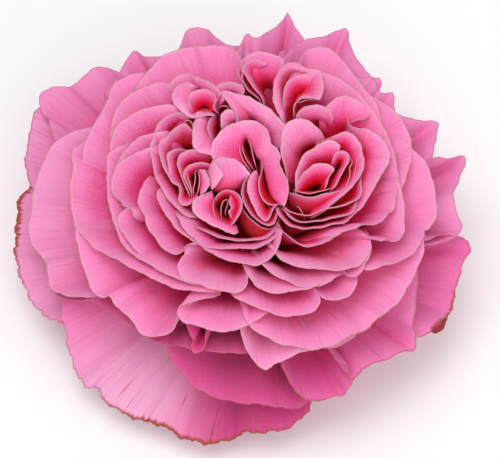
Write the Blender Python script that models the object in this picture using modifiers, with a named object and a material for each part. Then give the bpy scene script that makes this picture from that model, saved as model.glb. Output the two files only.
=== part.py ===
"""Garden rose: one picked, fully double bloom whose middle is quartered, standing face up on its folded-back sepals.

Metres, +Z up. The origin is the centre of the cut face of the stalk, and +Z is the flower's axis.

Each petal is a curved blade lofted from a narrow claw on the hip to its rim. The rims are drawn as a florist would
sketch the open bloom: on a sheet square to the eye of someone who looks down on it at SKETCH_TILT, in millimetres
right (a) and up (b) of the sketch's centre. A dome rule gives each point of a rim its height, and the point is then
followed from the sheet back onto that height.
"""

import math
from dataclasses import dataclass

import bmesh
import bpy
import numpy as np

MM = 0.001

# Driving dimensions
FACE_HEIGHT = 53 * MM
SKETCH_TILT = math.radians(60)
SKETCH_DISTANCE = 600 * MM
SKETCH_CENTRE = (-0.5 * MM, -10.6 * MM, FACE_HEIGHT - 6.1 * MM)
PETAL_THICKNESS = 0.8 * MM
HIP_TOP = 15 * MM
HIP_RADIUS = 7 * MM
STALK_RADIUS = 2.7 * MM
STALK_LENGTH = 4.5 * MM
SEPALS = 5
SEPAL_REACH = 27 * MM
SEPAL_THICKNESS = 1.2 * MM
SEPAL_WIDTHS = (6.5, 9, 9.5, 7, 8, 5, 3.2, 1.6)  # mm, from its root to its tip
GAP = 0.3 * MM
WELD = 0.002 * MM

# The crowded claws of each group of petals make one core, which the blades stand out of
OUTER_CORE_RADIUS = 14 * MM
OUTER_CORE_BOTTOM = HIP_TOP + GAP
OUTER_CORE_TOP = HIP_TOP + 3.9 * MM
INNER_CORE_RADIUS = 26 * MM
INNER_CORE_BOTTOM = OUTER_CORE_TOP + GAP
INNER_CORE_TOP = 45 * MM
OUTER_CLAWS = HIP_TOP + 0.8 * MM
INNER_CLAWS = INNER_CORE_BOTTOM + 1 * MM

# Middles, in sketch millimetres, that the petals of each group are wrapped round
FACE = (0.5, 12.2)
LEFT_QUARTER = (-15.5, 15.5)
RIGHT_QUARTER = (20, 14.5)
UPPER_RIGHT = (13.5, 36)
UPPER_LEFT = (-12.5, 33.5)
HEART = (-5.5, 5.5)
SWIRL = (4.5, 9)


@dataclass(frozen=True)
class Petal:
    """One petal: its rim in sketch millimetres, and how its blade runs.

    rank is 0 for the outermost petals and 1 for the heart. rise is the slope in degrees at which the blade reaches
    the rim. drop is how far in mm the rim lies under the dome. middle is what the petal is wrapped round.
    """

    rim: tuple
    rank: float
    rise: float
    drop: float = 0.0
    middle: tuple = FACE


# The guard petals, whose rims make the outline
OUTER_PETALS = {
    "guard_left": Petal(
        ((-54, 12), (-60, 8), (-61, 1), (-60.5, -5), (-59.5, -11), (-57.5, -16), (-54, -20.5), (-48, -25), (-42, -28)),
        0.0, -8, 7),
    "guard_low_left": Petal(
        ((-49, -13), (-48.5, -19), (-47.5, -26), (-45.5, -34.5), (-43, -40), (-40.5, -41.3), (-37.5, -44), (-32, -47.5),
         (-22.5, -51), (-16.5, -54.3), (-10.5, -55.8), (-5, -55), (0, -53.3), (5, -53), (10.5, -51), (14.5, -47.5),
         (16.8, -43), (17, -38)),
        0.0, -12, 6),
    "guard_low": Petal(
        ((-22, -28), (-20.5, -33), (-14, -39.5), (-9, -42), (-3, -44), (3, -45.6), (7.5, -46.5), (12, -46),
         (16, -43), (17.5, -38)),
        0.02, -4, 4.5),
    "guard_low_fold": Petal(
        ((9, -37), (12.5, -41), (18, -44.2), (21.5, -43.6), (24.8, -42.5), (26.8, -40), (28, -35)),
        0.04, -2, 3.5),
    "guard_low_right": Petal(
        ((20, -28), (23.5, -34), (26.7, -39.3), (30, -35.5), (35, -33.8), (38.5, -32), (42.6, -31.5), (42.3, -26),
         (43.8, -18), (43.4, -12), (45.2, -5), (45.5, 0)),
        0.06, 4, 3.5),
    "guard_right": Petal(
        ((38, -31), (42, -30), (46.5, -26.7), (50, -23.5), (52.5, -21.5), (53.5, -17.5), (55.5, -10), (57.5, -5),
         (56.5, -2.8), (52, -1.7), (47, -2.5), (43, -4)),
        0.0, 2, 4.5),
    "guard_right_horn": Petal(
        ((42, 16), (46, 17.2), (48.5, 18.6), (55.8, 18.8), (54.3, 13.5), (52.6, 7.7), (54, 3.8), (55, 0.5),
         (52, -1.2), (46, -2.5)),
        0.04, 10, 3.5),
    "guard_upper_right": Petal(
        ((33, 33), (38, 30), (43, 28.3), (49, 27.2), (48.3, 23.5), (47.3, 19.5), (45.5, 13)),
        0.05, 16, 3.5),
    "guard_right_tooth": Petal(
        ((28, 41), (31.5, 39.2), (34, 39), (33.6, 35.6), (37, 35.4), (37.3, 32), (39, 28)),
        0.02, 16, 4),
    "guard_top_right": Petal(
        ((9, 46), (13.5, 49.3), (20, 50.3), (25, 52), (25.9, 47), (29, 42.3), (32.5, 38.5), (34, 33)),
        0.05, 18, 4),
    "guard_top": Petal(
        ((-4, 43), (-1.6, 51), (0.5, 49.6), (4.5, 51), (8.3, 53.8), (9.7, 56.3), (11.2, 53), (14, 49), (17, 44)),
        0.02, 20, 4.5),
    "guard_top_left": Petal(
        ((-21, 43), (-17.3, 48.5), (-15.4, 52.2), (-11.5, 52), (-8.2, 49.5), (-6, 47.9), (-2, 48.6), (2, 45)),
        0.02, 18, 4.5),
    "guard_left_tooth": Petal(
        ((-37, 36), (-33.5, 41), (-29.5, 46.2), (-27, 44.9), (-22.5, 44.6), (-18, 43)),
        0.04, 16, 4),
    "guard_upper_left": Petal(
        ((-49.5, 20), (-51.5, 26), (-54.5, 31.5), (-54.3, 35.3), (-51.5, 37), (-46.5, 37.1), (-43.5, 39.3),
         (-40.3, 42), (-34.5, 40.5), (-31, 36)),
        0.06, 10, 3),
    "guard_left_fold": Petal(
        ((-53, 34), (-56, 30), (-57.2, 25), (-58.5, 18), (-57.2, 12), (-53.5, 6)),
        0.03, 0, 5.5),
    "shade_low_left": Petal(
        ((-51, -11), (-50.5, -16), (-44, -18.2), (-37, -21), (-31.5, -24.8), (-26, -28.5), (-20.5, -30.8), (-14, -32),
         (-6, -31.8), (-1, -31.5), (1, -28)),
        0.03, 6, 3.8),
    "back_low_left": Petal(((-24, 40), (-17, 44.5), (-8, 46), (0, 44), (4, 40)), 0.02, 20, 12),
    "back_low_right": Petal(((-1, 42), (6, 46), (14, 46), (22, 42), (27, 36)), 0.02, 20, 13),
}

INNER_PETALS = {
    # The next whorl, still wide and nearly flat
    "wide_left": Petal(
        ((-39, 27), (-44.5, 26), (-49.5, 23.5), (-53.5, 18), (-56, 10.5), (-56.9, 3), (-56.6, -3), (-53.8, -7),
         (-52, -10.5), (-52, -15), (-48.5, -17.3), (-42, -18.5)),
        0.12, 0, 0),
    "point_low": Petal(
        ((-2, -23), (0.2, -30), (2, -34), (4.2, -36.6), (7, -35), (12, -32.8), (19, -31.5), (26, -30), (30, -26)),
        0.16, -4, 0.4),
    "wide_low_right": Petal(
        ((25, -22), (29, -24.3), (31.2, -25.7), (33, -22.9), (38, -18), (42.5, -11.5), (45, -5), (45.3, -1), (44, 4)),
        0.16, 4, 0),
    "bowl_right": Petal(
        ((38, 25), (42, 21), (45.5, 17.8), (47.6, 12), (48.4, 6), (48, 2), (45.5, 0), (42, -2)),
        0.16, 10, 0),
    "bowl_upper_right": Petal(
        ((33, 34), (37, 31.2), (40, 27.5), (41.9, 22), (41.2, 16), (39, 10)),
        0.2, 14, 0),
    "bowl_top_right": Petal(
        ((9, 42), (13.5, 44), (15.2, 46.5), (18.3, 47.5), (21.5, 46.3), (25, 42.5), (29, 37.5), (32.5, 33)),
        0.2, 20, 0),
    "bowl_top_left": Petal(
        ((-29, 38), (-26, 41.5), (-22.3, 45.4), (-17, 47), (-11.5, 47.4), (-6.5, 47.4), (-3, 45.5), (-1.8, 42.5),
         (-2, 38)),
        0.2, 22, 0),
    "bowl_upper_left": Petal(
        ((-25, 40.5), (-31, 40), (-35.3, 37.5), (-37, 33), (-40, 28), (-42.9, 22), (-44, 16)),
        0.18, 12, 0),
    # Petals of the back, out of sight behind the ones above
    "back_left": Petal(((-26, 36), (-20, 40), (-13, 42), (-5, 42.5), (0, 40)), 0.3, 36, 5),
    "back_middle": Petal(((-8, 40), (-2, 43), (5, 44), (11, 42.5), (15, 39)), 0.28, 34, 5.5),
    "back_right": Petal(((8, 40), (14, 42), (20, 41), (25, 37.5), (28, 33)), 0.3, 36, 5),
    "back_inner_left": Petal(((-19, 30), (-17, 36), (-11, 38.5), (-4, 38), (0, 35)), 0.5, 56, 5),
    "back_inner_right": Petal(((2, 36), (7, 39), (13, 40), (19, 37), (22, 32)), 0.5, 56, 5),
    # The bowl of the rosette
    "bowl_left": Petal(
        ((-40.5, 24), (-43.2, 22), (-46.1, 20), (-45.7, 16.5), (-46.3, 9.5), (-45.6, 3), (-44.3, -0.5), (-40.3, -4.8),
         (-33, -8.8), (-26, -12.4), (-19, -14.6), (-12, -15.8)),
        0.3, 14, 0.4),
    "bowl_low_left": Petal(
        ((-44.5, 4), (-44.8, -3), (-43, -10), (-41, -15.7), (-38.7, -17.5), (-36.4, -17), (-33.8, -20.3), (-31, -23.3),
         (-28, -26.2), (-24.5, -27.3), (-20.7, -26.4), (-18.3, -23), (-15, -19)),
        0.22, 6, 0.2),
    "bowl_low": Petal(
        ((-12, -19.5), (-16.5, -20), (-18.6, -21.5), (-17.3, -23.7), (-13, -25.4), (-7, -26.2), (-1, -24.9),
         (4.5, -21.6), (7, -18)),
        0.26, 8, 0),
    "bowl_low_right": Petal(
        ((-1.5, -22), (0.5, -25), (4, -27.8), (9, -30), (14, -30.6), (19, -31), (25, -29), (30, -24.8), (31, -20)),
        0.22, 6, 0),
    "cup_low": Petal(
        ((-6, -14.5), (-3.6, -17.8), (0, -20.5), (6, -22), (11, -22.3), (15.3, -21.2), (17.7, -19), (17.5, -16.5),
         (15, -13)),
        0.36, 20, 0.2),
    "cup_low_side": Petal(
        ((15.5, -14.5), (18, -17.4), (21, -18.4), (24.5, -17.2), (27.3, -14.3), (27.8, -11)),
        0.38, 20, 0),
    "bowl_side_right": Petal(
        ((26, -8), (30.5, -10.4), (36, -9.4), (40.3, -7.2), (43.7, -4.5), (45.4, -1), (46.2, 3)),
        0.28, 12, 0),
    "cup_side_right": Petal(
        ((38.5, 14), (40, 8), (40.3, 2), (39.5, -1.5), (38, -2.8), (36.3, -2.4), (34.6, -2.9), (32, -2.2), (29, -0.5)),
        0.36, 22, 0),
    "cup_left": Petal(
        ((-33, 21), (-36.3, 20), (-36.8, 8), (-35.3, 1), (-33, -3), (-29, -7.2), (-24.5, -10.3), (-18, -13.2),
         (-12, -14.5)),
        0.38, 20, 0.4),
    "cup_upper_left": Petal(
        ((-21, 38.5), (-25.5, 37.2), (-29.5, 36), (-33.5, 33), (-35.6, 29), (-36.4, 24)),
        0.36, 22, 0),
    "cup_upper_left_b": Petal(
        ((-17, 32.5), (-21, 32), (-28, 31), (-32, 29), (-34.8, 26.3), (-36.2, 20), (-35.5, 16)),
        0.42, 26, 0),
    "cup_upper_left_c": Petal(
        ((-21, 25.8), (-25, 25), (-28.5, 23.8), (-31.5, 21.3), (-34.2, 17.5), (-35, 13)),
        0.48, 30, 0),
    "cup_left_b": Petal(
        ((-23.5, 21.7), (-28, 20.5), (-32, 18.7), (-34.6, 16.2), (-35.8, 12.5), (-35, 9), (-33.2, 6), (-30.5, 4.6)),
        0.52, 30, 0),
    "cup_left_lobe": Petal(
        ((-30, 5), (-33, 3.8), (-34.2, 2), (-33.2, -1), (-31, -4.2), (-28, -7)),
        0.46, 26, 0.2),
    "cup_right_long": Petal(
        ((9, 43), (15, 41.8), (21, 40), (27, 36.5), (31.5, 31.5), (34.3, 26.8), (36.8, 21.5), (38.3, 16), (38.5, 11)),
        0.4, 34, 0.3),
    # The lips under the quarters, lowest first
    "lip_hook_left": Petal(
        ((-27.5, 12), (-28.7, 7), (-27.2, 2), (-24.7, -2.6), (-21.5, -5.2), (-18.8, -5.3), (-16.5, -4.4)),
        0.56, 34, 0),
    "lip_hook": Petal(
        ((-14, -4.3), (-16.8, -5.6), (-18.5, -8.5), (-18, -11.7), (-15.3, -13.9), (-10, -15.5), (-5, -16.4),
         (-2.2, -15.5), (-1.1, -12.8), (-1.6, -9)),
        0.5, 28, 0),
    "lip_notch": Petal(
        ((-2.3, -9), (-0.7, -11.8), (1.7, -14.4), (4.5, -16.1), (9, -16.2), (14.5, -15.4), (19.5, -13.4), (22, -10)),
        0.46, 26, 0),
    "lip_wide": Petal(
        ((1, -7.5), (4, -9.9), (8.5, -12.8), (12, -14.8), (17, -14.2), (21.7, -13.1), (25.5, -10.8), (27, -8)),
        0.5, 28, 0),
    "lip_lobe": Petal(
        ((23.5, -9), (25, -12.2), (28.2, -11.6), (31, -8), (32.6, -3.5), (31.5, 0)),
        0.46, 24, 0.2),
    "lip_broad": Petal(
        ((5, -4.5), (7.5, -6.8), (11, -8.3), (16, -9.9), (20, -10.7), (24.5, -10.3), (28.2, -8.2), (30.5, -4.5),
         (31.5, 0)),
        0.56, 32, 0),
    "lip_broad_upper": Petal(
        ((5.5, -4), (8, -6), (13, -5.9), (20, -4), (25.5, -0.8), (29, 1.8), (32, 5)),
        0.6, 38, 0.2),
    "lip_side": Petal(
        ((38.7, 12), (38, 8.3), (35.5, 3.5), (31, 1.2), (25, 0), (21, -1.5), (18, -3.5)),
        0.5, 34, 0.3),
    "lip_middle": Petal(
        ((-18.5, 3), (-15.5, -0.8), (-12.5, -4), (-9, -7), (-5, -8.7), (0, -9), (4.6, -7.6), (7.2, -4), (8.6, -0.6)),
        0.62, 36, 0),
    "lip_dark": Petal(
        ((7.5, 1.5), (8.7, -0.9), (12, -2.8), (16, -3.8), (20, -3.1), (24, -0.8)),
        0.66, 46, 0.5),
    "lip_inner": Petal(
        ((-24.5, 9.5), (-22.8, 6), (-20, 2), (-15.5, -2), (-11, -4.6), (-4, -5.3), (3, -4.2), (6.5, -1.5)),
        0.68, 44, 0),
    "lip_inner_b": Petal(
        ((-13, 0.8), (-9, -1.6), (-4, -2.9), (3, -2), (6.5, 0.3)),
        0.74, 54, 0.3),
    # The right quarter
    "right_bowl": Petal(
        ((26, 29.5), (26.5, 27.5), (31, 26.2), (34.2, 23.6), (36.4, 19.3), (34.6, 14.5), (31, 8), (28, 5), (24, 2.5)),
        0.6, 48, 0, RIGHT_QUARTER),
    "right_back": Petal(
        ((18.5, 30), (20.3, 33), (23.5, 34.5), (28, 33.6), (31.8, 31), (33, 27)),
        0.55, 50, 0, RIGHT_QUARTER),
    "right_ring": Petal(
        ((17.5, 22), (20.3, 24.2), (22.8, 25.2), (25.3, 25.2), (27.6, 23.2), (29.3, 17.5), (27.8, 12.8), (24, 8.7),
         (19.5, 6.6), (14.5, 6)),
        0.78, 68, 0, RIGHT_QUARTER),
    "right_crescent_a": Petal(
        ((29, 14), (28.8, 10.8), (26.5, 7.7), (22, 5.8), (16, 4.2), (11, 4.4), (8.5, 6.3)),
        0.72, 56, 0.2, RIGHT_QUARTER),
    "right_crescent_b": Petal(
        ((27, 8), (25.7, 5.2), (21.5, 3.9), (16, 3), (11, 3), (7.6, 5.2)),
        0.68, 52, 0.4, RIGHT_QUARTER),
    "right_crescent_c": Petal(
        ((26, 4.5), (24, 1.8), (18, 0.6), (12, 1.2), (7.8, 3.8)),
        0.64, 48, 0.6, RIGHT_QUARTER),
    "right_left": Petal(
        ((13, 8), (11.5, 10), (12, 13), (14.4, 17.8), (18.2, 22.3), (21, 24.2), (23, 23)),
        0.84, 72, 0.6, RIGHT_QUARTER),
    "right_middle": Petal(
        ((14, 10), (13.3, 12.8), (15.2, 15.8), (18.3, 17), (21.6, 16.3), (22.8, 14)),
        0.92, 74, 1.6, RIGHT_QUARTER),
    "right_spoon": Petal(
        ((21.5, 17.5), (24.3, 20), (25.8, 18.4), (24.6, 14.3), (21.5, 11.3), (18, 9.8)),
        0.88, 74, 0.9, RIGHT_QUARTER),
    "right_lip": Petal(
        ((9.5, 10.2), (12, 9), (15.5, 8.4), (20, 9.4), (24, 10.2), (26.5, 12.5)),
        0.82, 70, 0.2, RIGHT_QUARTER),
    # The upper right quarter
    "upper_right_front": Petal(
        ((8.7, 23), (9.5, 27), (12.3, 30.3), (15.3, 31.8), (18.3, 31.6), (20.8, 30.3), (22, 27)),
        0.7, 52, 0, RIGHT_QUARTER),
    "upper_right_outer": Petal(
        ((7.2, 27), (6.2, 32), (6.2, 38), (7.5, 41.2), (10.2, 43), (14, 42), (16.5, 40)),
        0.66, 64, 0, UPPER_RIGHT),
    "upper_right_inner": Petal(
        ((9, 29), (9.2, 34.5), (10, 38.3), (11.8, 40), (14.5, 39.8), (16, 38)),
        0.74, 72, 0.6, UPPER_RIGHT),
    "upper_right_fold": Petal(
        ((17, 42), (18.6, 40.8), (18.8, 37.3), (18.5, 34.4), (15, 33.4), (12, 33), (11, 31.3), (11.3, 28.5)),
        0.78, 70, 0.2, UPPER_RIGHT),
    "top_curl": Petal(
        ((-1.5, 38.5), (-2.8, 41), (-2, 42.9), (0.3, 43.8), (4.5, 43.2), (7, 40.5)),
        0.6, 56, 0.2, (2.5, 38)),
    # The upper left whorl
    "centre_broad": Petal(
        ((-9, 33), (-7.8, 36.2), (-3, 34.9), (1.5, 33), (5.8, 29.8), (8.8, 26.4), (9.7, 22), (9, 17)),
        0.7, 62, 0, (0, 20)),
    "upper_left_outer": Petal(
        ((-20.5, 36), (-19.8, 38.9), (-17.3, 40.2), (-13.5, 39.6), (-10, 38.3), (-7.6, 35.8)),
        0.62, 54, 0, UPPER_LEFT),
    "upper_left_loop": Petal(
        ((-13.5, 37), (-17.5, 37.8), (-19.9, 35.8), (-20.2, 33.2), (-17.8, 30.8), (-14, 29.9), (-10, 30.2)),
        0.7, 64, 0, UPPER_LEFT),
    "upper_left_inner": Petal(
        ((-15.8, 30.5), (-16.3, 33.8), (-14.6, 35.6), (-12, 36), (-9.9, 33.7), (-9.3, 30.5)),
        0.78, 72, 0.8, UPPER_LEFT),
    "upper_left_tip": Petal(
        ((-10, 34.5), (-8.8, 37), (-6, 37.9), (-3.3, 37.4), (-2, 35.8)),
        0.66, 60, 0.2, (-6, 33)),
    # The left quarter
    "left_outer": Petal(
        ((-13, 30.3), (-17.5, 30.2), (-21, 29.2), (-24, 26.2), (-25.5, 21.5), (-25.8, 16.5), (-24.8, 11)),
        0.66, 56, 0, LEFT_QUARTER),
    "left_cup": Petal(
        ((-24.4, 19), (-24.3, 13.5), (-22.6, 9), (-19.8, 5.8), (-16.5, 4), (-14, 3.5)),
        0.72, 60, 0.2, LEFT_QUARTER),
    "left_ring": Petal(
        ((-14.3, 25.5), (-17.3, 27.2), (-20.3, 25.7), (-23.2, 22.3), (-23, 18), (-22, 14.7), (-20, 12), (-18.6, 9.5),
         (-17.6, 7.3)),
        0.8, 68, 0, LEFT_QUARTER),
    "left_shelf": Petal(
        ((-10, 19.9), (-14.5, 20.2), (-18.5, 20.5), (-20.8, 19.2), (-20.2, 15), (-18, 11)),
        0.86, 72, 0.6, LEFT_QUARTER),
    "left_hood": Petal(
        ((-9.8, 16.9), (-13, 17), (-16.6, 15.5), (-17.2, 12.5), (-16.3, 9.5), (-15, 7.3)),
        0.9, 76, 0.5, LEFT_QUARTER),
    "left_curtain": Petal(
        ((-9.9, 29.5), (-13.8, 29.6), (-14.6, 25.5), (-14.7, 22), (-12.8, 20.2), (-9.9, 19.7)),
        0.8, 66, 0.2, (-11, 24)),
    "left_leaflet": Petal(
        ((-12.7, 15), (-14.6, 12.5), (-14.2, 8.5), (-12, 8.3), (-10.6, 10.5)),
        0.94, 78, 0.4, (-12.5, 11.5)),
    # The folded arch, the swirl beside it and the small rolled heart
    "arch": Petal(
        ((-9.3, 16.5), (-9.8, 23.3), (-7.5, 25.9), (-4, 27.8), (0, 28.4), (3.6, 26.7), (5.6, 22.8), (7.8, 19),
         (9.4, 13.5), (9.8, 9.5), (8.6, 5)),
        0.84, 74, 0, (0, 17)),
    "arch_inner": Petal(
        ((-3, 19), (-2.7, 24), (-1.2, 25.4), (0.9, 23.5), (2.8, 20.5), (5.5, 16.3), (7, 11), (7, 7.5)),
        0.9, 78, 0.8, (2, 16)),
    "centre_face": Petal(
        ((-10.5, 14), (-9.6, 18.2), (-6, 18.8), (-2.8, 17.5), (0, 14.2), (0.5, 11)),
        0.92, 70, 0.5, (-5, 12)),
    "swirl_outer": Petal(
        ((0.3, 15), (-1.3, 13), (-2, 10.5), (-1.2, 7.8), (0.2, 4.8), (2.2, 2.5), (4.3, 1.5), (6.3, 2.6), (7.3, 5)),
        0.9, 76, 0, SWIRL),
    "swirl_inner": Petal(
        ((1, 15.5), (-0.6, 12), (0.5, 7.8), (2, 4.7), (4, 2.9), (5.8, 4.6), (7, 6.8), (9, 6)),
        0.94, 78, 0.6, (3.5, 9.5)),
    "swirl_heart": Petal(
        ((3.4, 15), (2.5, 11.8), (3.2, 8.8), (5, 7.2), (7, 7.5)),
        0.97, 80, 1, (5, 11)),
    "heart_lip": Petal(
        ((-15, 8.5), (-14.7, 5.2), (-12.5, 3), (-9, 1), (-5.5, -0.6), (-3, -1.1), (-1.8, 0.5)),
        0.86, 66, 0, HEART),
    "heart_ring": Petal(
        ((-5.5, 0.4), (-8, 2), (-9.2, 4.5), (-9, 7.6), (-7.3, 9.7), (-5, 10), (-2.9, 8.6), (-2.1, 6), (-2.8, 3),
         (-4, 1)),
        0.96, 80, 0, HEART),
    "heart_roll": Petal(
        ((-6.2, 3), (-7.7, 5), (-7.4, 7.5), (-5.8, 8.8), (-4.3, 7.8), (-4, 4.8)),
        1.0, 84, 0.6, HEART),
}


def along(points: np.ndarray, share: np.ndarray) -> np.ndarray:
    """Reads a smooth curve through points at shares 0..1 of its chord length: cubic Hermite spans whose slope at a
    point is that of the chord between its two neighbours."""
    steps = np.linalg.norm(np.diff(points, axis=0), axis=1)
    knots = np.concatenate([[0.0], np.cumsum(steps)])
    slopes = np.gradient(points, knots, axis=0)
    place = share * knots[-1]
    span = np.clip(np.searchsorted(knots, place, side="right") - 1, 0, len(steps) - 1)
    width = (knots[span + 1] - knots[span])[:, None]
    t = (place[:, None] - knots[span][:, None]) / width
    first, second = points[span], points[span + 1]
    return (
        (2 * t**3 - 3 * t**2 + 1) * first
        + (t**3 - 2 * t**2 + t) * width * slopes[span]
        + (3 * t**2 - 2 * t**3) * second
        + (t**3 - t**2) * width * slopes[span + 1]
    )


def dome_height(a: np.ndarray, b: np.ndarray) -> np.ndarray:
    """Height of the dome over a sketch point: flat in the middle and falling towards the outline, most at the front."""
    right, up = a - FACE[0], b - FACE[1]
    reach = np.hypot(right, up)
    turn = np.arctan2(up, right)
    fall = (24.6 - 12.7 * np.sin(turn)) * MM
    edge = 54.5 - 11.5 * np.sin(turn) + 5.5 * np.cos(turn) ** 2
    start = 0.4 * edge
    share = np.clip((reach - start) / (edge - start), 0, 1.02)
    return FACE_HEIGHT - fall * share**1.6


def from_sketch(a: np.ndarray, b: np.ndarray, height: np.ndarray) -> np.ndarray:
    """Follows sketch points from the eye onto their heights, and returns their places in space."""
    a, b = a * MM, b * MM
    sine, cosine = math.sin(SKETCH_TILT), math.cos(SKETCH_TILT)
    rise = height - SKETCH_CENTRE[2]
    depth = (b * (1 - rise * sine / SKETCH_DISTANCE) - rise * cosine) / (sine - b * cosine / SKETCH_DISTANCE)
    nearness = rise * sine - depth * cosine
    across = a * (1 - nearness / SKETCH_DISTANCE)
    return np.stack([SKETCH_CENTRE[0] + across, SKETCH_CENTRE[1] + depth, height], axis=-1)


def petal_surface(petal: Petal, columns: int, rows: int, root: float, claw_height: float) -> np.ndarray:
    """Points of a petal's middle surface, rows x columns x 3: cubic curves from the claw on the hip to the rim.

    root is the share of each curve at which the surface starts.
    """
    share = np.linspace(0, 1, columns)
    sketch = along(np.array(petal.rim, dtype=float), share)
    tuck = 2.5 * np.abs(2 * share - 1) ** 8
    height = dome_height(sketch[:, 0], sketch[:, 1]) - (petal.drop + tuck) * MM
    rim = from_sketch(sketch[:, 0], sketch[:, 1], height)
    middle = from_sketch(np.array([petal.middle[0]]), np.array([petal.middle[1]]), np.array([FACE_HEIGHT]))[0]
    if petal.middle == FACE:
        middle = np.zeros(3)
    outward = rim[:, :2] - middle[:2]
    outward /= np.linalg.norm(outward, axis=1)[:, None]

    centre = rim[:, :2].mean(axis=0)
    heading = math.atan2(centre[1], centre[0])
    turns = np.arctan2(rim[:, 1], rim[:, 0]) - heading
    turns = (turns + math.pi) % (2 * math.pi) - math.pi
    spread = np.clip(turns, -0.7, 0.7) * (1 - 0.4 * petal.rank)
    claw_radius = (6.5 - 3 * petal.rank) * MM
    seat = claw_height + 5 * petal.rank * MM
    angle = heading + spread
    claw = np.stack([np.cos(angle) * claw_radius, np.sin(angle) * claw_radius, np.full(columns, seat)], axis=1)
    start = math.radians(-4 + 88 * petal.rank**0.8)
    leave = np.stack([np.cos(angle) * math.cos(start), np.sin(angle) * math.cos(start),
                      np.full(columns, math.sin(start))], axis=1)
    slope = math.radians(petal.rise)
    arrive = np.column_stack([outward * math.cos(slope), np.full(columns, math.sin(slope))])
    length = np.linalg.norm(rim - claw, axis=1)[:, None]
    t = np.linspace(root, 1, rows)[:, None, None]
    return (
        (1 - t) ** 3 * claw
        + 3 * (1 - t) ** 2 * t * (claw + 0.4 * length * leave)
        + 3 * (1 - t) * t**2 * (rim - 0.36 * length * arrive)
        + t**3 * rim
    )


def node_material(name: str, colour: tuple, roughness: float) -> bpy.types.Material:
    """A plain Principled material, its colour in linear light."""
    material = bpy.data.materials.new(name)
    material.use_nodes = True
    shader = material.node_tree.nodes["Principled BSDF"]
    shader.inputs["Base Color"].default_value = (*colour, 1.0)
    shader.inputs["Roughness"].default_value = roughness
    shader.inputs["Metallic"].default_value = 0.0
    return material


def add_object(name: str, mesh: bpy.types.Mesh, collection: bpy.types.Collection) -> bpy.types.Object:
    """Links a mesh to a collection as a named object."""
    new = bpy.data.objects.new(name, mesh)
    collection.objects.link(new)
    return new


def new_collection(name: str) -> bpy.types.Collection:
    """A collection of its own in the scene."""
    collection = bpy.data.collections.new(name)
    bpy.context.scene.collection.children.link(collection)
    return collection


def baked(source: bpy.types.Object) -> bpy.types.Mesh:
    """The object's mesh with its modifiers applied."""
    graph = bpy.context.evaluated_depsgraph_get()
    return bpy.data.meshes.new_from_object(source.evaluated_get(graph))


def blade(name: str, surface: np.ndarray, thickness: float, collection: bpy.types.Collection) -> bpy.types.Object:
    """A closed blade about a surface given as rows x columns x 3 points.

    The surface is split into triangles first, so that both faces of the blade are split alike and never cross.
    """
    rows, columns = surface.shape[:2]
    corner = np.arange(rows * columns).reshape(rows, columns)[:-1, :-1].ravel()
    quads = np.stack([corner, corner + 1, corner + columns + 1, corner + columns], axis=1)
    triangles = np.concatenate([quads[:, [0, 1, 2]], quads[:, [0, 2, 3]]])
    mesh = bpy.data.meshes.new(name)
    mesh.from_pydata(surface.reshape(-1, 3).tolist(), [], triangles.tolist())
    new = add_object(name, mesh, collection)
    wall = new.modifiers.new("Thickness", "SOLIDIFY")
    wall.thickness = thickness
    wall.offset = 0.0
    new.data = baked(new)
    new.modifiers.clear()
    return new


def turned(name: str, profile: list, sides: int, collection: bpy.types.Collection) -> bpy.types.Object:
    """A closed solid turned about Z from a profile of (radius, height) that runs from its top down to its bottom."""
    mesh = bpy.data.meshes.new(name)
    points = [(radius, 0.0, height) for radius, height in profile]
    edges = [(index, index + 1) for index in range(len(points) - 1)]
    mesh.from_pydata(points, edges, [])
    new = add_object(name, mesh, collection)
    screw = new.modifiers.new("Turn", "SCREW")
    screw.steps = sides
    screw.render_steps = sides
    screw.use_merge_vertices = True
    screw.merge_threshold = 0.00001
    new.data = baked(new)
    new.modifiers.clear()
    return new


def keep_largest_skin(body: bpy.types.Object) -> None:
    """Deletes all but the largest connected skin, which fills hollows sealed by fusing and drops loose scraps."""
    cage = bmesh.new()
    cage.from_mesh(body.data)
    bmesh.ops.remove_doubles(cage, verts=cage.verts, dist=WELD)
    bmesh.ops.dissolve_degenerate(cage, edges=cage.edges, dist=WELD)
    waiting = set(cage.verts)
    skins = []
    while waiting:
        skin = set()
        edge_of_search = [waiting.pop()]
        while edge_of_search:
            vertex = edge_of_search.pop()
            skin.add(vertex)
            for edge in vertex.link_edges:
                neighbour = edge.other_vert(vertex)
                if neighbour in waiting:
                    waiting.discard(neighbour)
                    edge_of_search.append(neighbour)
        skins.append(skin)
    largest = max(skins, key=len)
    bmesh.ops.delete(cage, geom=[vertex for skin in skins if skin is not largest for vertex in skin], context="VERTS")
    cage.to_mesh(body.data)
    cage.free()


def join_repeats(body: bpy.types.Object, repeats: bpy.types.Collection) -> None:
    """Fuses every object of a collection into body by one Boolean union, and removes the collection."""
    union = body.modifiers.new("Union", "BOOLEAN")
    union.operation = "UNION"
    union.operand_type = "COLLECTION"
    union.collection = repeats
    union.solver = "MANIFOLD"
    body.data = baked(body)
    body.modifiers.clear()
    keep_largest_skin(body)
    for repeat in list(repeats.objects):
        bpy.data.objects.remove(repeat)
    bpy.data.collections.remove(repeats)


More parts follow.
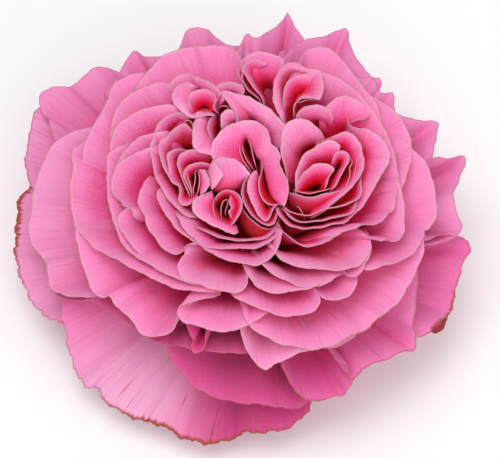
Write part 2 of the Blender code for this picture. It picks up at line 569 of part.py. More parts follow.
def sepal_surface(turn: float, rows: int, columns: int) -> np.ndarray:
    """Middle surface of one sepal, rows x columns x 3: it leaves the top of the hip, folds back and ends flat on the
    surface that the flower stands on."""
    t = np.linspace(0, 1, rows)
    rest = SEPAL_THICKNESS / 2
    stations = [(HIP_RADIUS - 2 * MM, HIP_TOP - 2.6 * MM), (HIP_RADIUS + 6 * MM, HIP_TOP + 0.2 * MM),
                (SEPAL_REACH - 9 * MM, rest), (SEPAL_REACH, rest)]
    weights = np.stack([(1 - t) ** 3, 3 * (1 - t) ** 2 * t, 3 * (1 - t) * t**2, t**3], axis=1)
    reach, height = (weights @ np.array(stations)).T
    widths = np.interp(t, np.linspace(0, 1, len(SEPAL_WIDTHS)), SEPAL_WIDTHS) * MM
    across = np.linspace(-0.5, 0.5, columns)
    side = widths[:, None] * across
    cup = 2.2 * MM * (4 * across**2) * np.sin(math.pi * t)[:, None]
    x = np.broadcast_to(reach[:, None], side.shape)
    z = height[:, None] + cup
    return np.stack([x * math.cos(turn) - side * math.sin(turn), x * math.sin(turn) + side * math.cos(turn), z], axis=-1)


def add_calyx(collection: bpy.types.Collection) -> None:
    """The hip with its short cut stalk and five sepals, grown as one."""
    profile = [(0, HIP_TOP), (HIP_RADIUS - 0.8 * MM, HIP_TOP), (HIP_RADIUS, HIP_TOP - 1 * MM),
               (HIP_RADIUS - 0.1 * MM, HIP_TOP - 3.2 * MM), (HIP_RADIUS - 1 * MM, HIP_TOP - 6 * MM),
               (HIP_RADIUS - 2.9 * MM, HIP_TOP - 8.8 * MM), (STALK_RADIUS, STALK_LENGTH), (STALK_RADIUS, 0), (0, 0)]
    calyx = turned("calyx", profile, 20, collection)
    sepals = new_collection("sepals")
    for index in range(SEPALS):
        turn = math.radians(18 + 360 / SEPALS * index)
        blade(f"sepal_{index}", sepal_surface(turn, 8, 4), SEPAL_THICKNESS, sepals)
    join_repeats(calyx, sepals)
    calyx.data.materials.append(node_material("calyx green", (0.11, 0.2, 0.05), 0.55))


def add_outer_petals(collection: bpy.types.Collection) -> None:
    """The guard petals, fused at their crowded claws on the hip."""
    profile = [(0, OUTER_CORE_TOP), (OUTER_CORE_RADIUS, OUTER_CORE_TOP), (OUTER_CORE_RADIUS, OUTER_CORE_TOP - 2 * MM),
               (HIP_RADIUS, OUTER_CORE_BOTTOM), (0, OUTER_CORE_BOTTOM)]
    petals = turned("outer_petals", profile, 20, collection)
    blades = new_collection("outer blades")
    for name, petal in OUTER_PETALS.items():
        columns = min(len(petal.rim), 10)
        blade(name, petal_surface(petal, columns, 4, 0.18, OUTER_CLAWS), PETAL_THICKNESS, blades)
    join_repeats(petals, blades)
    petals.data.materials.append(node_material("outer petal pink", (0.66, 0.15, 0.38), 0.5))


def add_inner_petals(collection: bpy.types.Collection) -> None:
    """The petals of the rosette and its quarters, fused at their crowded claws."""
    profile = [(0, INNER_CORE_TOP), (INNER_CORE_RADIUS - 14 * MM, INNER_CORE_TOP - 1 * MM),
               (INNER_CORE_RADIUS - 5 * MM, INNER_CORE_TOP - 6 * MM), (INNER_CORE_RADIUS, INNER_CORE_TOP - 13 * MM),
               (INNER_CORE_RADIUS - 12 * MM, INNER_CORE_BOTTOM), (0, INNER_CORE_BOTTOM)]
    petals = turned("inner_petals", profile, 20, collection)
    blades = new_collection("inner blades")
    for name, petal in INNER_PETALS.items():
        columns = min(max(round(0.7 * len(petal.rim)), 4), 7)
        root = 0.44 + 0.3 * petal.rank
        blade(name, petal_surface(petal, columns, 3, root, INNER_CLAWS), PETAL_THICKNESS, blades)
    join_repeats(petals, blades)
    petals.data.materials.append(node_material("petal pink", (0.78, 0.12, 0.36), 0.5))


def main() -> None:
    """Clears the scene and builds the rose's pieces."""
    for old in list(bpy.data.objects):
        bpy.data.objects.remove(old)
    rose = new_collection("garden rose")
    add_calyx(rose)
    add_outer_petals(rose)
    add_inner_petals(rose)


if __name__ == "__main__":
    main()
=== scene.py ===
"""Garden rose: the looks of one picked, fully double bloom whose middle is quartered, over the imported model.

Every petal is a thin closed shell worked out with numpy. Its rim is drawn in millimetres on a sheet square to
the eye of someone who looks down on the open bloom at SKETCH_TILT, right (a) and up (b) of the sketch's
centre, and followed from there onto a dome. Curves run from the claw on the hip to the rim, and the rim's
roll, waves and crinkles are added along the petal's own normal. The petals of a whorl are one mesh, with one
velvety material that reads where a point lies on its petal. The sepals are shells of the same kind in green,
and the hip with its cut stalk and the claws crowded over it are turned profiles.
"""

import logging
import math
import zlib
from dataclasses import dataclass
from enum import Enum

import bpy
import numpy as np
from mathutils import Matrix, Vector

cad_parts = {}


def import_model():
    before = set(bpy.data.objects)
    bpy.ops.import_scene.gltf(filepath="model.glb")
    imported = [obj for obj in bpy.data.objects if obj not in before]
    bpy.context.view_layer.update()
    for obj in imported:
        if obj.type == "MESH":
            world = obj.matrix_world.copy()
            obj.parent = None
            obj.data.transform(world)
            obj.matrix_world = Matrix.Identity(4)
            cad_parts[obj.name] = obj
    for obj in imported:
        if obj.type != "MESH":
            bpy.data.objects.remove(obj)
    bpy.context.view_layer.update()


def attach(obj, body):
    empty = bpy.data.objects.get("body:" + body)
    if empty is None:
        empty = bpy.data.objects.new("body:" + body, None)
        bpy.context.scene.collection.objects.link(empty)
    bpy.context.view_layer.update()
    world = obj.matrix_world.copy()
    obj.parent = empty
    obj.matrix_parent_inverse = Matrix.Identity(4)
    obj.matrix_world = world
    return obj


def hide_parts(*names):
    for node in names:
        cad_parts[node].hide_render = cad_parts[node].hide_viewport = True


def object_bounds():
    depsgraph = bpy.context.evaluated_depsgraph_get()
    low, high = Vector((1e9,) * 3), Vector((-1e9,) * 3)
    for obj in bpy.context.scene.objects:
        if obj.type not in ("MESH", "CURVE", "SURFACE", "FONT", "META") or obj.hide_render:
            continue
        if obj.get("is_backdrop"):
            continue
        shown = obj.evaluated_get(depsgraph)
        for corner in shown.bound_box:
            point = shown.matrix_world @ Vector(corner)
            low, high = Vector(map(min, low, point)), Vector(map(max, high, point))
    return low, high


MM = 0.001
LOG = logging.getLogger("garden rose")

# Driving dimensions, as in the part's source
FACE_HEIGHT = 53 * MM
SKETCH_TILT = math.radians(60)
SKETCH_DISTANCE = 600 * MM
SKETCH_CENTRE = (-0.5 * MM, -10.6 * MM, FACE_HEIGHT - 6.1 * MM)
HIP_TOP = 15 * MM
HIP_RADIUS = 7 * MM
SEPALS = 5
SEPAL_REACH = 27 * MM
SEPAL_THICKNESS = 1.2 * MM
OUTER_CLAWS = HIP_TOP + 0.8 * MM
INNER_CLAWS = HIP_TOP + 5.2 * MM

# What the photograph's frame takes in at the sheet, 500 pixels of 0.26 mm
FRAME_WIDTH = 130 * MM
SENSOR_WIDTH = 36.0

# Middles, in sketch millimetres, that the petals of each group are wrapped round
FACE = (0.5, 12.2)
LEFT_QUARTER = (-15.5, 15.5)
RIGHT_QUARTER = (20, 14.5)
UPPER_RIGHT = (13.5, 36)
UPPER_LEFT = (-12.5, 33.5)
HEART = (-5.5, 5.5)
SWIRL = (4.5, 9)

# The dome that the rims lie on, in mm: how far its edge lies from the middle and how far under it. The second
# number is taken off at the back and added in front, and the third is added at both sides.
DOME_REACH = (54.5, 11.5, 5.5)
DOME_FALL = (24.6, 12.7)
DOME_FLAT = 0.4
DOME_POWER = 1.6

# Radius and height in mm down the hip, which is HIP_RADIUS wide and HIP_TOP high, with its stalk
HIP_PROFILE = ((0.01, 15), (3.5, 15), (6.2, 15), (6.9, 14.2), (7, 12.6), (6.8, 10.8), (6.1, 8.8), (4.9, 7),
               (3.5, 5.6), (2.8, 4.4), (2.7, 2.6), (2.7, 0.5), (2.45, 0), (1.2, 0), (0.01, 0))
# The same down the crowded claws of the petals over it
CLAWS_PROFILE = ((0.01, 27), (3, 26.6), (6, 25), (8, 22), (8.6, 19), (8.2, 16.4), (7, 15.2), (3.5, 15),
                 (0.01, 15))


class Part(Enum):
    """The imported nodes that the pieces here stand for, and the slot of the record that each takes."""

    CALYX = ("calyx", "calyx")
    OUTER = ("outer_petals", "outer_petal")
    INNER = ("inner_petals", "petal")

    @property
    def node(self) -> str:
        """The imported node's name."""
        return self.value[0]

    @property
    def slot(self) -> str:
        """The material slot's name in the record."""
        return self.value[1]


@dataclass(frozen=True)
class Petal:
    """One petal: its rim in sketch millimetres, how its blade runs, and how its edge has grown and aged.

    A point may hold its own drop as a third number, and one without has the petal's. A rim that starts with
    its own drop also ends as drawn, and any other is tucked down at both ends.

    rank is 0 for the outermost petals and 1 for the heart. rise is the slope in degrees at which the blade
    reaches the rim. drop is how far in mm the rim lies under the dome. middle is what the petal is wrapped
    round. curl is how far in mm the rim rolls outwards. ruffle and wave are the height and length in mm of
    the rim's waves, billow the height in mm of the blade's broad ones, crinkle that of the fine ones on an
    edge that has dried, and wobble how far in mm the rim strays in and out. mauve, pale and worn are 0 to 1,
    alike all along or a row of values from one end of the rim to the other: how far it has cooled, paled,
    and browned along its edge. On a few faces that lie in shade, pale is painted light. deep is painted shade:
    it moves the colour towards that of the claws in the same way, on faces that lie in the shade of others or
    turn away from the light. flush is how far in mm from the rim its colour is deep, or 0 where its rank says
    so; that deepening inwards is partly the petal's own colour and partly painted shade of the folds. folds
    are its soft creases: place along the rim 0 to 1, height and width in mm. lines are further lines that the
    blade runs through on its way up, the lowest first, each with as many points as the rim. well is where the
    blade gathers below them: right, up, drop and the share to which the line above it is drawn in round that
    point.
    """

    rim: tuple
    rank: float
    rise: float
    drop: float = 0.0
    middle: tuple = FACE
    curl: float = 0.18
    ruffle: float = 0.16
    wave: float = 13.0
    billow: float = 0.45
    crinkle: float = 0.0
    wobble: float = 0.16
    mauve: float | tuple = 0.0
    pale: float | tuple = 0.0
    worn: float | tuple = 0.0
    deep: float | tuple = 0.0
    flush: float = 0.0
    folds: tuple = ()
    lines: tuple = ()
    well: tuple = ()


@dataclass(frozen=True)
class Scrap(Petal):
    """A small stiff petal of the quarters and the heart, which hardly waves or curls."""

    curl: float = 0.05
    ruffle: float = 0.03
    billow: float = 0.0


# The guard petals, whose rims make the outline
GUARD_PETALS = {
    "guard_left": Petal(
        ((-50, 14, 13), (-56, 11.5, 9), (-60, 8), (-60.7, 5), (-61.1, 0), (-61.2, -5), (-60.2, -10.3),
         (-58.6, -15.3), (-55.6, -20.2), (-52, -23, 7.2), (-48, -25, 8.5), (-43, -24.5, 15)),
        0.0, -8, drop=7, billow=0.9, crinkle=0.28, mauve=0.25, pale=(0, 0.1, 0.2, 0.1),
        worn=(0.2, 2, 2.2, 0.8, 0.3, 0.1, 0), flush=60, wobble=0.5),
    "guard_low_left": Petal(
        ((-46, -12, 14), (-48.8, -17.5, 7.5), (-49.2, -19.6, 6.4), (-48.2, -25.6), (-47.1, -31.5),
         (-45.4, -36.6), (-43.7, -40), (-42, -41.4), (-40.5, -40.8), (-38.2, -44.2), (-34.8, -46.8),
         (-31.4, -48.4), (-27.1, -50.1), (-22.9, -51.2), (-19.5, -53.3), (-15.2, -55), (-11, -55.8),
         (-6.8, -55.2), (-1.7, -53.2), (3.4, -53), (8, -52.3, 6.2), (11.5, -50.3, 6.6), (14.6, -47.3, 7.4),
         (16.6, -44, 9), (17, -39, 15)),
        0.0, -12, drop=6, billow=0.8, crinkle=0.2,
        mauve=(0.1, 0.15, 0.25, 0.5, 0.6, 0.5, 0.2, 0.1, 0.1, 0.1, 0.1),
        pale=(0, 0.05, 0.15, 0.35, 0.5, 0.45, 0.1, 0, 0, 0, 0), worn=(0, 0, 0.3, 1.5, 1.3, 0.5, 0),
        deep=(0.3, 0.3, 0.15, 0, 0, 0.1, 0.5, 0.65, 0.65, 0.6, 0.5), flush=80, wobble=0.5,
        folds=((0.3, 1.3, 2.2), (0.42, -1.0, 2.0), (0.5, 1.2, 1.8), (0.58, -1.1, 2.4), (0.66, 0.8, 2.0))),
    "guard_low": Petal(
        ((-18, -25, 12), (-21.4, -29, 6.4), (-21.4, -32.3, 4.8), (-19.5, -35.3), (-16.5, -38.7),
         (-12.7, -41.7), (-8.5, -43.8), (-3.4, -45.1), (3, -45.6), (7, -46, 4.6), (10.3, -46.6, 4.8),
         (13.5, -45.6, 5.2), (16, -44.2, 6), (17.5, -41, 10)),
        0.02, -4, drop=4.5, billow=0.4, mauve=0.15, deep=0.6, flush=60, wobble=0.3, crinkle=0.1,
        worn=(0, 0, 0, 0.3), folds=((0.8, 0.6, 1.6), (0.88, -0.9, 1.6))),
    "guard_low_fold": Petal(
        ((8, -36, 8), (10.6, -40.5, 5), (13.2, -43.4, 4), (18.7, -44.3, 3.5), (21.8, -43.5, 3.5),
         (25, -42.7, 3.5), (26.6, -40.8, 3.6), (27.4, -38.4, 4.4), (28.4, -34, 9)),
        0.04, -2, mauve=0.1, deep=0.35, flush=60, worn=(0.3, 0.5, 0, 0.2),
        folds=((0.34, -0.8, 1.4), (0.72, 0.9, 1.6))),
    "guard_low_right": Petal(
        ((19, -27, 9), (22.6, -33.4, 4.6), (26.9, -39.3), (29.1, -36.4), (31.6, -34.8), (36.5, -33.5),
         (39.8, -32), (42.8, -31.6), (43.2, -29, 3.6), (42.6, -24, 4), (43.2, -18, 5), (43.6, -12, 7),
         (43, -4, 12)),
        0.06, 2, drop=3.5, mauve=(0.1, 0, 0.1), deep=(0.3, 0.1, 0.05), flush=70, worn=(0, 0.35, 0.2, 0.3, 0),
        folds=((0.17, 1.4, 1.6), (0.11, -0.8, 1.6), (0.66, 1.0, 1.8))),
    "guard_right": Petal(
        ((37, -24, 22), (41, -28.4, 12), (46, -27.3, 4.8), (49.3, -24), (52.4, -21.5), (52.7, -19.2),
         (53.8, -14.6), (55.4, -8.9), (57.3, -5.1), (56.6, -3, 4.6), (54, -2, 5), (49, -2, 6.4),
         (44, -3, 12)),
        0.0, 2, drop=4.5, mauve=0.2, deep=(0.1, 0.1, 0.2, 0.35, 0.4, 0.3, 0.2), flush=70,
        worn=(0, 0.3, 1, 0.1, 0.3, 0), crinkle=0.12, wobble=0.3),
    "guard_right_horn": Petal(
        ((42, 16, 6), (46, 17.2, 4), (49, 18.4), (53, 18.8), (55.8, 18.8), (54.6, 14), (52.9, 8.2), (53.8, 4),
         (55, 0.7, 3.7), (52.6, -2, 4.6), (48, -4, 8), (43, -5, 13)),
        0.04, 10, drop=3.5, mauve=0.15, flush=70),
    "guard_upper_right": Petal(
        ((33, 33, 3.5), (38, 30, 3.5), (43, 28.3, 3.5), (49, 27.2, 3.5), (48.3, 23.5, 3.6), (47.3, 19.5, 4.4),
         (45.5, 13, 9)),
        0.05, 16, mauve=0.05, flush=60),
    "guard_right_tooth": Petal(
        ((26, 40, 7), (31, 39.3, 4.4), (34, 39, 4), (33.6, 35.6, 4), (37, 35.4, 4), (37.4, 32, 4.4),
         (39, 27, 8)),
        0.02, 16, mauve=0.05, flush=60),
    "guard_top_right": Petal(
        ((8, 44, 8), (13, 48.6, 4.4), (20, 50.3), (25, 52), (26, 47.4), (29, 42.5), (32.4, 38.5, 4.4),
         (34, 33, 8)),
        0.05, 18, drop=4, mauve=0.05, flush=60, folds=((0.3, 0.6, 2.0), (0.5, -0.6, 2.4))),
    "guard_top": Petal(
        ((-5, 42, 9), (-2.6, 48, 5.4), (-0.4, 50.6, 4.6), (0.6, 49.8), (4.5, 51), (8.3, 53.8), (9.7, 56.3),
         (11.4, 53), (14, 49, 5.4), (17, 43, 10)),
        0.02, 20, drop=4.5, mauve=0.05, flush=60),
    "guard_top_left": Petal(
        ((-22, 41, 10), (-18, 47.6, 5.4), (-15.4, 52.2, 4.5), (-11.5, 52, 4.5), (-8.2, 49.5, 4.5),
         (-6, 47.9, 4.7), (-2, 47.6, 6.4), (2, 43, 11)),
        0.02, 18, mauve=0.05, flush=60, pale=0.1),
    "guard_left_tooth": Petal(
        ((-38, 35, 9), (-34, 40.6, 5), (-29.5, 46.2, 4), (-27, 44.9, 4), (-22.5, 44.6, 4.4), (-17, 42, 9)),
        0.04, 16, mauve=0.05, flush=60),
    "guard_upper_left": Petal(
        ((-48.6, 17, 8), (-50, 21.5, 4), (-51.7, 26), (-54.5, 31.5), (-54.4, 35.3), (-51.5, 37),
         (-46.5, 37.1), (-43.5, 39.3), (-40.3, 42), (-34.5, 40.5, 3.6), (-30, 35, 9)),
        0.06, 10, drop=3, mauve=0.05, flush=60, folds=((0.26, 0.9, 1.6), (0.34, -0.6, 2.0), (0.6, 0.6, 2.0))),
    "guard_left_fold": Petal(
        ((-50, 36, 10), (-53.6, 33, 6), (-56, 30, 5.5), (-57.2, 25, 5.5), (-58.5, 18, 5.5), (-57.2, 12, 6),
         (-53.5, 5, 11)),
        0.03, 0, mauve=0.2, pale=0.1, flush=60, worn=0.3, wobble=0.3),
    "shade_low_left": Petal(
        ((-50, -8, 10), (-51.6, -12, 5), (-51.6, -15.6, 4), (-48, -17.6), (-41, -19.2), (-34.4, -22.4),
         (-29.6, -25.4), (-24.6, -29.3), (-20.4, -30.3), (-15.7, -31.2, 3.6), (-11.9, -31.5), (-6.8, -31.6),
         (-1, -32.3, 4.2), (3, -30, 8)),
        # Its deep is painted shade of the petals over it.
        0.03, 6, drop=3.8, mauve=0.2, deep=(0.3, 0.6, 0.75, 0.75), flush=50,
        folds=((0.72, 1.0, 1.2), (0.66, -0.7, 1.4))),
    "stub_fold": Petal(
        ((-17, -23, 4), (-15.8, -27, 2.6), (-15.4, -30.6, 2.2), (-14.6, -32.3, 2), (-13, -32, 2),
         (-11.7, -31, 2.2), (-11.6, -28, 3), (-11, -24, 6)),
        0.06, 2, deep=0.5, flush=26, wobble=0.1, folds=((0.3, 0.9, 0.9),)),
    "torn_scrap": Petal(
        ((45, -20, 20), (46.4, -24.6, 12), (47.6, -26.8, 8), (49.4, -26.4, 7.4), (50.8, -24.6, 8),
         (51.4, -22, 11), (50, -18, 20)),
        0.0, 2, deep=0.4, flush=50, worn=2, crinkle=0.1),
    "back_low_left": Petal(((-24, 40), (-17, 44.5), (-8, 46), (0, 44), (4, 40)), 0.02, 20, 12),
    "back_low_right": Petal(((-1, 42), (6, 46), (14, 46), (22, 42), (27, 36)), 0.02, 20, 13),
}

# The next whorl, still wide and nearly flat
WIDE_PETALS = {
    "wide_left": Petal(
        ((-36, 28, 7), (-41, 26.6, 2.4), (-45.5, 25.4, 0.6), (-50, 23), (-53.5, 18), (-56, 11), (-56.9, 3.3),
         (-57.5, -1), (-56.4, -4.4), (-54, -6.6, 0.2), (-52.9, -9, 0.2), (-52.6, -12), (-51.8, -15.2, 0.2),
         (-48.5, -17.2, 0.6), (-43, -17.6, 3), (-37, -17, 8)),
        0.12, 0, mauve=(0.25, 0.25, 0.25, 0.3, 0.5), pale=(0, 0.1, 0.15, 0.1, 0),
        deep=(0, 0, 0, 0, 0.05, 0.05, 0.2, 0.25, 0.1), flush=60, worn=(0, 0, 0.1, 0),
        folds=((0.66, -1.3, 1.4), (0.71, 0.9, 1.6), (0.5, 0.5, 3.0))),
    "point_low": Petal(
        ((-1, -21, 5), (-2.2, -26, 1.6), (-1.6, -30.2, 0.6), (0, -33.5), (2, -35.3), (4.1, -36.7), (6, -35.1),
         (9.4, -33.5), (13.5, -31.9, 0.6), (18, -31.2, 1), (23, -30.4, 2.2), (28, -27, 6)),
        # Its pale is painted light on a face that lies in shade.
        0.16, -4, drop=0.4, mauve=0.05, pale=0.2, flush=80, folds=((0.4, 0.8, 1.8), (0.52, -0.4, 2.4))),
    "bowl_low_right": Petal(
        ((-3, -19, 4.5), (-1.4, -22.8, 1.2), (0, -25, 0.4), (2.9, -27.3, 0.1), (7, -29.5), (12.7, -30.5),
         (17.7, -30.9), (21.8, -30.3), (25, -28.7), (28.3, -26.6), (30.6, -25.6), (32.4, -24), (35, -21.9),
         (38.2, -19.2), (41.5, -14.4), (43.9, -8.9, 0.2), (45.3, -3.9, 1), (44.8, -1.6, 3), (43, 1, 9)),
        0.2, 3, flush=54, mauve=0.05, folds=((0.56, 1.0, 1.8), (0.5, -0.5, 2.0), (0.36, 0.3, 2.6)),
        worn=(0, 0, 0.25, 0, 0)),
    "bowl_right": Petal(
        ((36, 26, 5), (40, 23, 1), (43, 20.2), (45.6, 17.4), (47.6, 12), (48.4, 6), (48, 2.4, 0.4),
         (46, 0.4, 1.4), (42, -1, 5)),
        0.16, 10, flush=50),
    "bowl_upper_right": Petal(
        ((31, 35, 3), (36.6, 31.6, 0.4), (40, 27.5), (41.9, 22), (41.2, 16, 0.8), (39, 9, 5)),
        0.2, 14, flush=46),
    "bowl_top_right": Petal(
        ((11, 38, 6), (13, 41.6, 2), (13.6, 44, 0.6), (14.9, 46.2), (17.6, 47.3), (20, 47), (21.6, 46.2),
         (25, 42.5), (29, 37.5), (32.5, 33, 0.6), (34.5, 28, 4)),
        0.2, 20, flush=40, folds=((0.34, 0.5, 1.4), (0.5, -0.5, 2.0))),
    "bowl_top_left": Petal(
        ((-31, 35, 5), (-28.4, 38.6, 1), (-26, 41.5), (-22.3, 45.2), (-17, 47), (-11.5, 47.4), (-6.5, 47.4),
         (-3.4, 45.5), (-2.2, 42.5, 0.6), (-2.4, 38, 4)),
        0.2, 22, flush=40, folds=((0.5, -0.7, 1.4), (0.56, 0.5, 1.6), (0.68, -0.6, 1.2), (0.3, 0.4, 2.4))),
    "bowl_upper_left": Petal(
        ((-24, 40.5, 4), (-27.5, 40.6, 0.8), (-31.5, 39.8), (-35.3, 37.5), (-37.2, 33), (-40, 28),
         (-42.9, 22, 0.6), (-44, 15, 5)),
        0.18, 12, flush=46),
    # Petals of the back, out of sight behind the ones above
    "back_left": Petal(((-26, 36), (-20, 40), (-13, 42), (-5, 42.5), (0, 40)), 0.3, 36, 9),
    "back_middle": Petal(((-8, 40), (-2, 43), (5, 44), (11, 42.5), (15, 39)), 0.28, 34, 9.5),
    "back_right": Petal(((8, 40), (14, 42), (20, 41), (25, 37.5), (28, 33)), 0.3, 36, 9),
    "back_inner_left": Petal(((-19, 30), (-17, 36), (-11, 38.5), (-4, 38), (0, 35)), 0.5, 56, 11),
    "back_inner_right": Petal(((2, 36), (7, 39), (13, 40), (19, 37), (22, 32)), 0.5, 56, 11),
}

# The bowl of the rosette
BOWL_PETALS = {
    "bowl_left": Petal(
        ((-37.5, 26, 4.5), (-40.4, 24.4, 1.4), (-43.2, 22.4), (-46.2, 20.2), (-45.9, 17), (-46.7, 10),
         (-46.4, 5), (-45.4, 0.7), (-42.4, -2.9), (-37.3, -6.2), (-33, -9), (-27.2, -12), (-22, -14),
         (-16, -15.7, 0.6), (-10, -16.4, 1.4), (-5, -16, 5)),
        0.3, 14, drop=0.4, flush=32),
    "bowl_low_left": Petal(
        ((-43, 6, 5), (-45.2, 0.4, 0.6), (-45.2, -2.6), (-44.4, -6), (-43.2, -10), (-42, -13.6),
         (-40.4, -16.4), (-38.4, -17.4), (-36.8, -17.3), (-35.4, -19.4), (-33.2, -21.6), (-30.4, -24.2),
         (-28.6, -26.6), (-26, -27.6), (-23, -27.2), (-20.6, -26, 0.4), (-18.8, -23.4, 0.8), (-16, -20, 3),
         (-12, -18, 7)),
        0.22, 6, drop=0.2, flush=46, mauve=0.05,
        folds=((0.52, -0.6, 1.8), (0.6, 0.5, 2.0), (0.72, -0.4, 2.2)), ruffle=0.3),
    "bowl_low": Petal(
        ((-8, -17.4, 5), (-12, -18.5, 2), (-15.4, -19.2, 0.8), (-17.8, -20.2), (-18.8, -22, -0.4),
         (-17.8, -23.9), (-13.4, -25.4), (-7, -26.3), (-1, -25, 0.4), (4.5, -21.8, 2.4), (8, -18, 9)),
        0.26, 8, flush=36),
    "cup_low": Petal(
        ((-7, -14, 5), (-4.4, -17, 1), (-2, -18.8, 0.4), (1.2, -20.5), (5.3, -21.7), (10.3, -22.3),
         (14.4, -21.7), (17.2, -20.2, 0), (18, -18.6, -0.2), (17.6, -16.8, 0.6), (15, -14, 5)),
        0.36, 20, drop=0.2, flush=28),
    "cup_low_side": Petal(
        ((15.5, -12, 9), (17.2, -15.8, 2.4), (18.5, -17.6, 0.4), (20.3, -18.5), (23.6, -18), (26.3, -16.3),
         (27.6, -13.8, 0.4), (27.8, -10, 4)),
        0.38, 20, flush=28),
    "bowl_side_right": Petal(
        ((24, -6, 10), (27, -9, 3), (30.5, -10.6, 0.2), (36, -9.4), (40.3, -7.2), (43.7, -4.5),
         (45.2, -1.4, 1.4), (45, 3, 7)),
        0.28, 12, flush=32),
    "cup_side_right": Petal(
        ((37.4, 16, 3), (38.6, 12.8, 0.6), (39.7, 8.9), (40.2, 5), (40, 1.2), (39.4, -1.4), (38.3, -2.8),
         (36.8, -2.9), (35.6, -2.2, 0.2), (34.9, -2.3, 0.2), (34.2, -3), (33, -3.1), (31.6, -2.4, 0.6),
         (28, 0, 5)),
        0.36, 22, flush=28, ruffle=0.2, wave=8),
    "cup_left": Petal(
        ((-31, 22, 5), (-34, 21.4, 1), (-36.3, 20), (-37, 14), (-36.8, 8), (-35.6, 2), (-33.4, -3),
         (-29, -7.2), (-24.5, -10.3), (-18.5, -13.2), (-13, -14.6, 1.6), (-8, -14.4, 5)),
        0.38, 20, drop=0.4, flush=28),
    "cup_upper_left": Petal(
        ((-19, 37.6, 4), (-23, 38.2, 0.8), (-26, 37.4), (-29.5, 36), (-33.5, 33), (-35.6, 29, 0.4),
         (-36.4, 23, 4)),
        0.36, 22, flush=26),
    "cup_upper_left_b": Petal(
        ((-16.5, 30.5, 4), (-19, 31.9, 1), (-22.5, 32.2), (-28, 31), (-32, 29), (-34.8, 26.3),
         (-36.2, 20, 0.6), (-35.5, 15, 4)),
        0.42, 26, flush=20),
    "cup_upper_left_c": Petal(
        ((-21, 25.4, 4), (-23.4, 25.2, 0.6), (-26, 24.8), (-28.5, 23.8), (-31.5, 21.3), (-34.2, 17.5, 0.4),
         (-35, 12, 4)),
        0.48, 30, flush=16),
    "cup_left_b": Petal(
        ((-23, 21.8, 4), (-25.4, 21.4, 0.4), (-28, 20.5), (-32, 18.7), (-34.6, 16.2), (-35.8, 12.5), (-35, 9),
         (-33.2, 6.4, 0.2), (-31.6, 5.4), (-30.6, 4.6, -0.2), (-30.6, 3.8, 0.4), (-28, 2, 5)),
        0.52, 30, flush=18, ruffle=0.25, wave=9),
    "cup_left_lobe": Petal(
        ((-29, 4.6, 2), (-31, 5, 0), (-33, 4.2, -0.2), (-34.2, 2, 0.2), (-33.2, -1, 0.2), (-31, -4.2, 0.4),
         (-28, -7, 2.4), (-25, -8.6, 6)),
        0.46, 26, flush=22),
    "cup_right_long": Petal(
        ((9, 42, 3), (13.6, 41.8, 0.8), (17, 41.4), (21, 40), (27, 36.5), (31.5, 31.5), (34.3, 26.8),
         (36.8, 21.5), (38.3, 16, 0.8), (38.8, 10, 4)),
        0.4, 34, drop=0.3, flush=26),
}

